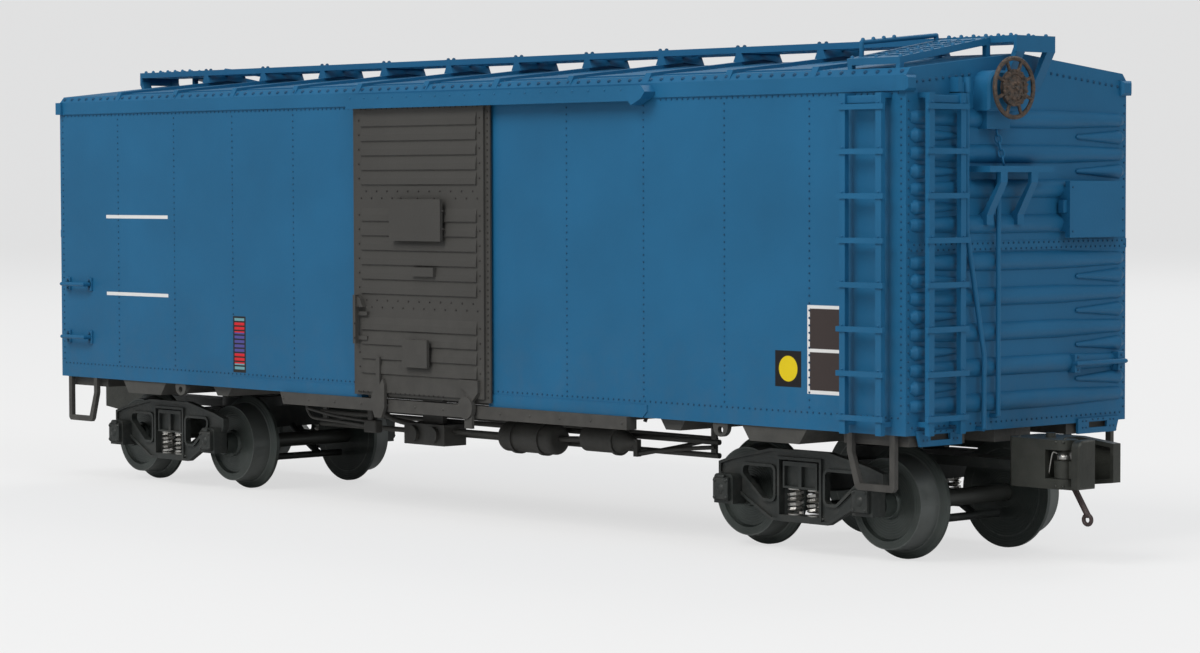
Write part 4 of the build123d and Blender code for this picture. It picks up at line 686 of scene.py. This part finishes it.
# %% Rivets of brackets and boards
plate_spots = []
for side in (-1, 1):
    plate_spots += [seat("end_brackets", (END_X, side * y, z), OUT) for y in (17.3, 18.3, 25.2, 26.2)
                    for z in (21.3, 22.5)]
    plate_spots += [seat("end_brackets", (END_X, side * y, 22.72), OUT) for y in (20.2, 21.7, 23.2)]
domes("bracket_rivets", "car_body", both_sides(plate_spots), 0.22, 0.18, blue_head_painted_shade)
board_spots = [seat("end_boards", (END_X, 26.1, z), OUT) for z in span(57.2, 65.2, 2.0)]
board_spots += [seat("end_boards", (END_X, 11.7, z), OUT) for z in (57.2, 65.2)]
domes("board_rivets", "car_body", both_sides(board_spots), 0.22, 0.18, blue_head_painted_shade)
print(2 * (len(plate_spots) + len(board_spots)), "rivets on brackets and boards")

# %% [markdown]
# ## Small plates with broken edges
#
# Feet, lugs and lids are little cast plates. A cube with sharp corners never catches light as paint does, so each
# block is built in bmesh and its edges are bevelled before it joins the others of its piece.

# %% Bevelled blocks
def plates(name, body, blocks, bevel, material, both=True):
    """Bevelled blocks as one mesh; each is its low and high x, y and height above the rails."""
    build = bmesh.new()
    for left, right, near, far, low, high in blocks:
        size = (right - left, far - near, high - low)
        for turn in (1, -1) if both else (1,):
            corners = bmesh.ops.create_cube(build, size=1.0)["verts"]
            middle = point((left + right) / 2 * turn, (near + far) / 2 * turn, (low + high) / 2)
            for vert in corners:
                vert.co = middle + Vector([part * length for part, length in zip(vert.co, size)]) * MM
            edges = {edge for vert in corners for edge in vert.link_edges}
            bmesh.ops.bevel(build, geom=list(edges), offset=bevel * MM, segments=2, affect="EDGES", profile=0.5)
    mesh = bpy.data.meshes.new(name)
    build.to_mesh(mesh)
    build.free()
    return carry(bpy.data.objects.new(name, mesh), body, material)


print("plates ready")

# %% Feet of the grab irons
SIDE_GRABS = ((-118.2, -126.8), (31.4, 43.4))   # x of the feet and their heights
END_GRAB_Y, END_GRAB_Z = (14.4, 26.9), (31.5, 34.9)
feet, foot_bolts = [], []
for x in SIDE_GRABS[0]:
    for z in SIDE_GRABS[1]:
        feet.append((x - 0.8, x + 0.8, -WALL_Y - 0.45, -WALL_Y + 0.1, z - 1.5, z + 1.5))
        foot_bolts += [((x, -WALL_Y - 0.45, z + side * 1.0), NEAR) for side in (-1, 1)]
for y in END_GRAB_Y:
    feet.append((END_X - 0.1, END_X + 1.7, y - 0.8, y + 0.8, *END_GRAB_Z))
    foot_bolts += [((END_X + 1.7, y, sum(END_GRAB_Z) / 2 + side * 1.15), OUT) for side in (-1, 1)]
feet += [(118.0, 125.5, -32.4, -31.7, 79.9, 81.3), (131.4, 132.3, -26.0, -18.8, 79.9, 81.3),
         (130.6, 131.9, 10.0, 11.0, 60.6, 62.9)]            # bars over both ladders, and the board's latch
plates("grab_feet", "car_body", feet, 0.12, blue)
domes("foot_bolts", "car_body", both_sides(foot_bolts), 0.30, 0.22, blue_head_painted_shade)
print(2 * len(feet), "feet and bars")

# %% [markdown]
# ## Bolts on the ladders
#
# Each rung is bolted to its stiles. Real hexagon heads could be cut in CAD, but at this size a low dome with six
# sides looks the same, so the rivet helper does for them.

# %% Ladder bolts
RUNGS = [24.6 + 7.75 * step for step in range(8)]
BOLT_OVER_RUNG = 1.2
STILES = (117.475, 126.025)
END_STILES = (-18.275, -26.525)
bolts = [seat("side_ladder_near", (x, -WALL_Y, z + BOLT_OVER_RUNG), NEAR) for x in STILES for z in RUNGS]
bolts += [seat("end_ladder_brake", (END_X, y, z + BOLT_OVER_RUNG), OUT) for y in END_STILES for z in RUNGS]
domes("ladder_bolts", "car_body", both_sides(bolts), 0.24, 0.16, blue)
print(2 * len(bolts), "bolts on the ladders")

# %% [markdown]
# ## The door: rivets at every rib, on its flanges and flats
#
# The door is one pressed sheet, riveted to its frame at both ends of every rib, along its foot and in zigzag rows
# over the two flats. A dense column holds the right flange. They ride on the door and slide with it.

# %% Rivets of the doors
DOOR_RIBS = ((27.2, 39.04, 4), (43.5, 61.26, 6), (65.7, 80.5, 5))       # low, high and how many
DOOR_ROWS = ((41.0, 42.4), (63.2, 64.6), (81.35, 81.35))                # both rows of each zigzag
DOOR_PLATES = ((-8.0, 9.2, 54.0, 63.6), (-4.1, 4.9, 28.6, 35.4),        # the plates and shoes that cover some
               (-15.5, -9.0, 19.0, 27.5), (7.5, 20.0, 19.0, 25.0))
rib_rows = [low + (high - low) / count * (step + 0.5) for low, high, count in DOOR_RIBS for step in range(count)]
door_plan = [(side * 18.9, z) for side in (-1, 1) for z in rib_rows]
door_plan += [(20.7, z) for z in span(24.0, 81.4, 1.25)] + [(x, 23.6) for x in span(-19.4, 19.4, 1.5)]
for low_row, high_row in DOOR_ROWS:
    door_plan += [(x, low_row) for x in span(-18.2, 18.2, 3.2)]
    door_plan += [(x + 1.6, high_row) for x in span(-18.2, 15.2, 3.2)]
door_plan = [(x, z) for x, z in door_plan
             if not any(left < x < right and low < z < high for left, right, low, high in DOOR_PLATES)]
door_spots = [seat("door_near", (x, -WALL_Y, z), NEAR) for x, z in door_plan]
nails = [((x, -32.5, 63.0), UP) for x in (-4.6, 0.6, 5.8)] + [((8.6, -32.5, z), OUT) for z in (57.0, 60.6)]
for door, spots, heads in (("door_near", door_spots, nails), ("door_far", turned(door_spots), turned(nails))):
    domes("rivets_" + door, door, spots, 0.23, 0.20, grey_head_painted_shade)
    domes("nails_" + door, door, heads, 0.36, 0.34, grey_head_painted_shade)
print(len(door_spots), "rivets on each door")

# %% [markdown]
# ## Bolts along the door's tracks
#
# The door hangs from the upper track and is guided by the lower one. Both are bolted to the car at an even pitch,
# so the bolts ride on the car's body and stay when the door slides. A ray finds the track's face for each of them.

# %% Track bolts
track_spots = [seat("upper_track_near", (x, -WALL_Y, 83.6), NEAR) for x in span(-20.0, 61.0, 4.5)]
domes("track_bolts", "car_body", both_sides(track_spots), 0.28, 0.18, blue)
sill_spots = [seat("sill_track_near", (x, -WALL_Y, 21.0), NEAR) for x in span(-45.4, 59.2, 8.7)]
domes("sill_bolts", "car_body", both_sides(sill_spots), 0.34, 0.20, grey)
print(2 * len(track_spots + sill_spots), "bolts along the tracks")

# %% [markdown]
# ## Grip on the roof walks
#
# The steel grating of a roof walk has a tooth where each bar meets its rail. Against the sky they make the rows of
# points that show at both ends of the car's top. They are small pointed heads at the pitch of the tread. Over each
# saddle the walk is bolted down, and those heads show along the rest of it.

# %% Teeth and saddle bolts
WALK_TOP = 92.1
TREAD_PITCH = 2.9
END_OF_WALK = 112.0             # beyond this the walk is seen on edge and its teeth stand out
walk = [(step + 0.5) * TREAD_PITCH for step in range(-46, 46)]
teeth = [((x, y, WALK_TOP), UP) for x in walk if abs(x) > END_OF_WALK for y in (-4.8, 0.0, 4.8)]
domes("walk_teeth", "car_body", teeth, 0.42, 0.50, blue)
saddle_bolts = [((step * CAP_PITCH + side * 0.9, y, WALK_TOP), UP) for step in CAP_STEPS for side in (-1, 1)
                for y in (-4.6, 4.6)]
domes("saddle_bolts", "car_body", saddle_bolts, 0.42, 0.42, blue_head_painted_shade)
side_teeth = [seat("lateral_boards", (x, -y, 90), UP) for x in (115.7, 121.4, 127.1) for y in span(6.6, 28.4, 2.7)]
side_teeth = [tooth for tooth in side_teeth if tooth[0][2] < WALK_TOP]      # none on the grab iron
domes("step_teeth", "car_body", both_sides(side_teeth), 0.40, 0.42, blue)
print(len(teeth) + 2 * len(side_teeth), "teeth on the walks")

# %% [markdown]
# ## The brake chain
#
# A chain hangs from the gear case to the platform below it. A rod is a line with a thickness, and so is the wire of
# a link. Blender's curves are made for this: a few points, a bevel depth, and the bends come out round. One helper
# takes several runs and gives one object, and the links are closed runs of eight points.

# %% Round bars from curves
def rods(name, body, runs, radius, material, closed=False):
    """Round bars along a few smooth runs of points, in millimetres above the rails."""
    data = bpy.data.curves.new(name, "CURVE")
    data.dimensions = "3D"
    data.bevel_depth = radius * MM
    data.bevel_resolution = 2
    data.resolution_u = 4
    data.use_fill_caps = True
    for run in runs:
        line = data.splines.new("NURBS")
        line.points.add(len(run) - 1)
        for control, place in zip(line.points, run):
            control.co = (*point(*place), 1.0)
        line.order_u = 3
        line.use_cyclic_u = closed
        line.use_endpoint_u = not closed
    return carry(bpy.data.objects.new(name, data), body, material)


print("rods ready")

# %% Links
CHAIN_TOP, CHAIN_FOOT = Vector((131.2, -7.9, 75.7)), Vector((132.2, -7.0, 69.3))
LINKS = 5
LINK_REACH, LINK_WIDTH = 0.66, 0.55     # of its share of the chain, and half its width in millimetres


def chain_links():
    """Oval links from the gear case down to the platform, each a quarter turn from the last."""
    run = CHAIN_FOOT - CHAIN_TOP
    along = run.normalized()
    across = along.orthogonal().normalized()
    links = []
    for link in range(LINKS):
        middle = CHAIN_TOP + run * (link + 0.5) / LINKS
        half = along * (run.length / LINKS * LINK_REACH)
        side = (across if link % 2 else along.cross(across)) * LINK_WIDTH
        angles = [math.pi * step / 4 for step in range(8)]
        links.append([tuple(middle + half * math.cos(angle) + side * math.sin(angle)) for angle in angles])
    return links


rods("brake_chain", "car_body", chain_links(), 0.19, blue, closed=True)
print(LINKS, "links of chain")

# %% [markdown]
# ## The cast web of the hand wheel
#
# The middle of the hand wheel is a cast web with an uneven pattern. Three rings of small bosses and a nut break up
# its flat face in the same way. They are seated on the wheel by a ray, as the rivets are.

# %% Bosses and nut
WHEEL_FRONT, WHEEL_Y, WHEEL_Z = 135.0, -8.0, 82.7
CAST_RINGS = ((3.05, 16, 0.34, 0.2), (2.0, 10, 0.36, 0.0), (0.95, 6, 0.32, 0.0))    # reach, count, size, turn
for number, (reach, count, size, turn) in enumerate(CAST_RINGS):
    angles = [2 * math.pi * step / count + turn for step in range(count)]
    spots = [seat("brake_wheel", (WHEEL_FRONT, WHEEL_Y + reach * math.cos(angle),
                                  WHEEL_Z + reach * math.sin(angle)), OUT) for angle in angles]
    domes(f"wheel_bosses_{number}", "car_body", spots, size, 0.30, rust)
middle = seat("brake_wheel", (WHEEL_FRONT, WHEEL_Y, WHEEL_Z), OUT)
domes("wheel_nut", "car_body", [middle], 0.55, 0.5, rust)
print(sum(ring[1] for ring in CAST_RINGS), "bosses on the hand wheel")

# %% [markdown]
# ## Pipes and rods under the floor
#
# Air runs from the pipe through the valve to the tank and the cylinder, and the cylinder's rod works levers that
# pull the brakes of both trucks. A mesh tube would have to be bent ring by ring. A curve needs only a few points
# between the CAD's tank, valve and sill.

# %% Air pipes, rigging and hand brake
AIR_PIPES = [[(-12.5, -12, 14.6), (-4, -12, 14.6), (5.0, -12, 14.6)],
             [(20.0, -12, 14.8), (25, -12, 15.0), (29.6, -12, 15.2)],
             [(-24.5, -12, 15.4), (-33, -12, 15.8), (-38, -11, 18.5), (-45, -10, 21.5)]]
RIGGING = [[(43.2, -12, 13.2), (50, -11, 14.4), (61, -8.4, 15.2)],
           [(43.2, -12, 13.0), (44.0, 0, 14.0), (43.6, 9.5, 15.0)],
           [(43.6, 9.3, 15.0), (0, 9.3, 15.2), (-62, 9.3, 15.4)],
           [(-62, -8, 13.9), (-62.6, 0, 14.6), (-62, 9.5, 15.4)],
           [(-20, 12, 17.0), (-19.5, 13, 20.0), (-19, 14, 22.8)],
           [(20, 12, 17.0), (20.5, 13, 20.0), (21, 14, 22.8)]]
HAND_BRAKE = [[(-51.6, -20, 17.8), (-50.6, -20, 16.2), (-48.6, -20, 15.9), (-40.4, -20, 15.7), (-30.6, -20, 15.2)],
              [(-51.6, -20, 18.0), (-45, -20, 17.0), (-38, -20, 16.5), (-31, -20, 16.2)],
              [(-51.6, -20, 17.6), (-51.8, -20, 19.6), (-51.8, -20, 22.8)]]
ROD_BRACKET = [(-31.2, -27.2, -21.0, -19.0, 13.9, 16.6), (-30.2, -28.6, -20.8, -19.2, 16.2, 22.6)]
rods("air_pipes", "car_body", AIR_PIPES, 0.62, under)
rods("brake_rigging", "car_body", RIGGING, 0.42, under)
rods("hand_brake_rod", "car_body", HAND_BRAKE, 0.36, grey)
plates("rod_bracket", "car_body", ROD_BRACKET, 0.3, grey, both=False)
print(len(AIR_PIPES + RIGGING + HAND_BRAKE), "pipes and rods")

# %% [markdown]
# ## Trucks: lids and bolts
#
# Each journal box is closed by a lid with a round boss and four bolts, and a larger bolt holds the frame below the
# spring. All of it is cast with the truck, so it rides on the truck's body. The plain end's truck is the brake
# end's after a half turn, so only one is worked out.

# %% From the brake end to the plain end
def spots_at(turn, spots):
    """Spots of the brake end, or the same ones at the plain end."""
    return spots if turn == 1 else turned(spots)


def runs_at(turn, runs):
    """Runs of the brake end, or the same ones at the plain end."""
    return [[(turn * x, turn * y, z) for x, y, z in run] for run in runs]


def blocks_at(turn, blocks):
    """Blocks of the brake end, or the same ones at the plain end."""
    return [(*sorted((turn * a, turn * b)), *sorted((turn * c, turn * d)), low, high)
            for a, b, c, d, low, high in blocks]


print("half turns ready")

# %% Lids, bosses and bolts
LID_FACE, LID_BACK, BOSS_BACK = 26.3, 25.9, 25.6        # from the middle of the track
LID_Z = 9.65
lids, bosses, lid_bolts = [], [], []
for side, name in ((-1, "near"), (1, "far")):
    facing, y = (0, side, 0), side * LID_FACE
    for way in (-1, 1):
        box = TRUCK_X + way * AXLE_STEP
        lids.append((box - 1.95, box + 1.95, *sorted((y, side * LID_BACK)), 7.6, 11.7))
        lids.append((box - 0.9, box + 0.9, *sorted((y, side * BOSS_BACK)), 11.6, 12.3))
        bosses.append(((box, y, LID_Z), facing))
        lid_bolts += [((box + u, y, LID_Z + w), facing) for u in (-1.45, 1.45) for w in (-1.55, 1.55)]
        lid_bolts.append(seat(f"sideframe_brake_{name}", (TRUCK_X + way * 5.6, 0, 5.4), facing, 40.0))
print(len(lids), "lids and lugs on each truck")

# %% [markdown]
# ## Brake beams, and both trucks put together
#
# A brake beam crosses between the wheels under every axle, hung from the bolster by two arms. From the side it is
# only a dark bar between the wheels, and a rod along three points is enough for it. Then every piece is made
# twice, once for each truck.

# %% Beams, lids and bolts on both trucks
BEAM_Z, BEAM_REACH = 4.9, 12.6
beams = []
for way in (-1, 1):
    beam = TRUCK_X + way * 16.4
    beams.append([(beam, y, BEAM_Z) for y in (-BEAM_REACH, 0, BEAM_REACH)])
    beams += [[(beam, y, BEAM_Z), (TRUCK_X + way * 11.5, y, 7.4), (TRUCK_X + way * 6.2, y, 10.9)]
              for y in (-6.5, 6.5)]
for end, turn in ENDS:
    body = "truck_" + end
    plates("box_lids_" + end, body, blocks_at(turn, lids), 0.28, iron, both=False)
    domes("box_bosses_" + end, body, spots_at(turn, bosses), 1.05, 0.35, iron)
    domes("truck_bolts_" + end, body, spots_at(turn, lid_bolts), 0.38, 0.30, iron)
    rods("brake_beams_" + end, body, runs_at(turn, beams), 0.75, iron)
print(len(beams), "bars in each truck")

# %% [markdown]
# ## Couplers: a bright nut and its spring clip
#
# The knuckle turns on a pin whose nut shows bright in the window of the head, with a bent wire that snaps the
# knuckle shut. Small studs stand where the lugs are riveted. The nut is built ring by ring from a list of radii and
# heights, as a lathe would turn it. It rides on the knuckle, the rest on the truck.

# %% A turned nut
PIN_X, PIN_Y = 143.2, -3.2
NUT_SIDES = 12
NUT_RINGS = ((1.30, 17.35), (1.42, 17.5), (1.42, 18.15), (1.20, 18.3), (1.20, 18.75), (0.9, 18.95))


def pin_nut(end, turn):
    """A turned nut round the knuckle's pin, from radii and heights."""
    angles = [2 * math.pi * k / NUT_SIDES for k in range(NUT_SIDES)]
    verts = [point(turn * (PIN_X + r * math.cos(angle)), turn * (PIN_Y + r * math.sin(angle)), z)
             for r, z in NUT_RINGS for angle in angles]
    faces = []
    for ring in range(len(NUT_RINGS) - 1):
        low, high = ring * NUT_SIDES, (ring + 1) * NUT_SIDES
        for k in range(NUT_SIDES):
            after = (k + 1) % NUT_SIDES
            faces.append((low + k, low + after, high + after, high + k))
    return smooth_piece("pin_nut_" + end, "knuckle_" + end, verts, faces, spring)


print(len(NUT_RINGS), "rings in a nut")

# %% Nuts, clips and studs
CLIP = [(140.4, -4.3, 14.5), (140.8, -4.35, 16.4), (141.3, -4.4, 18.5), (141.7, -4.4, 18.9), (142.3, -4.2, 18.5)]
studs = [seat("coupler_head_brake", (x, -8, z), NEAR) for x in (143.0, 144.4) for z in (20.6, 12.8)]
studs += [seat("coupler_head_brake", (x, y, 21), UP) for x, y in ((133.4, -3.9), (134.9, 3.2), (143.2, -3.2))]
for end, turn in ENDS:
    pin_nut(end, turn)
    rods("knuckle_clip_" + end, "truck_" + end, runs_at(turn, [CLIP]), 0.16, spring)
    domes("head_studs_" + end, "truck_" + end, spots_at(turn, studs), 0.34, 0.26, hook)
print("a nut, a clip and", len(studs), "studs on each coupler")

# %% [markdown]
# ## The end of the dressing

# %% End
print("dressing done")
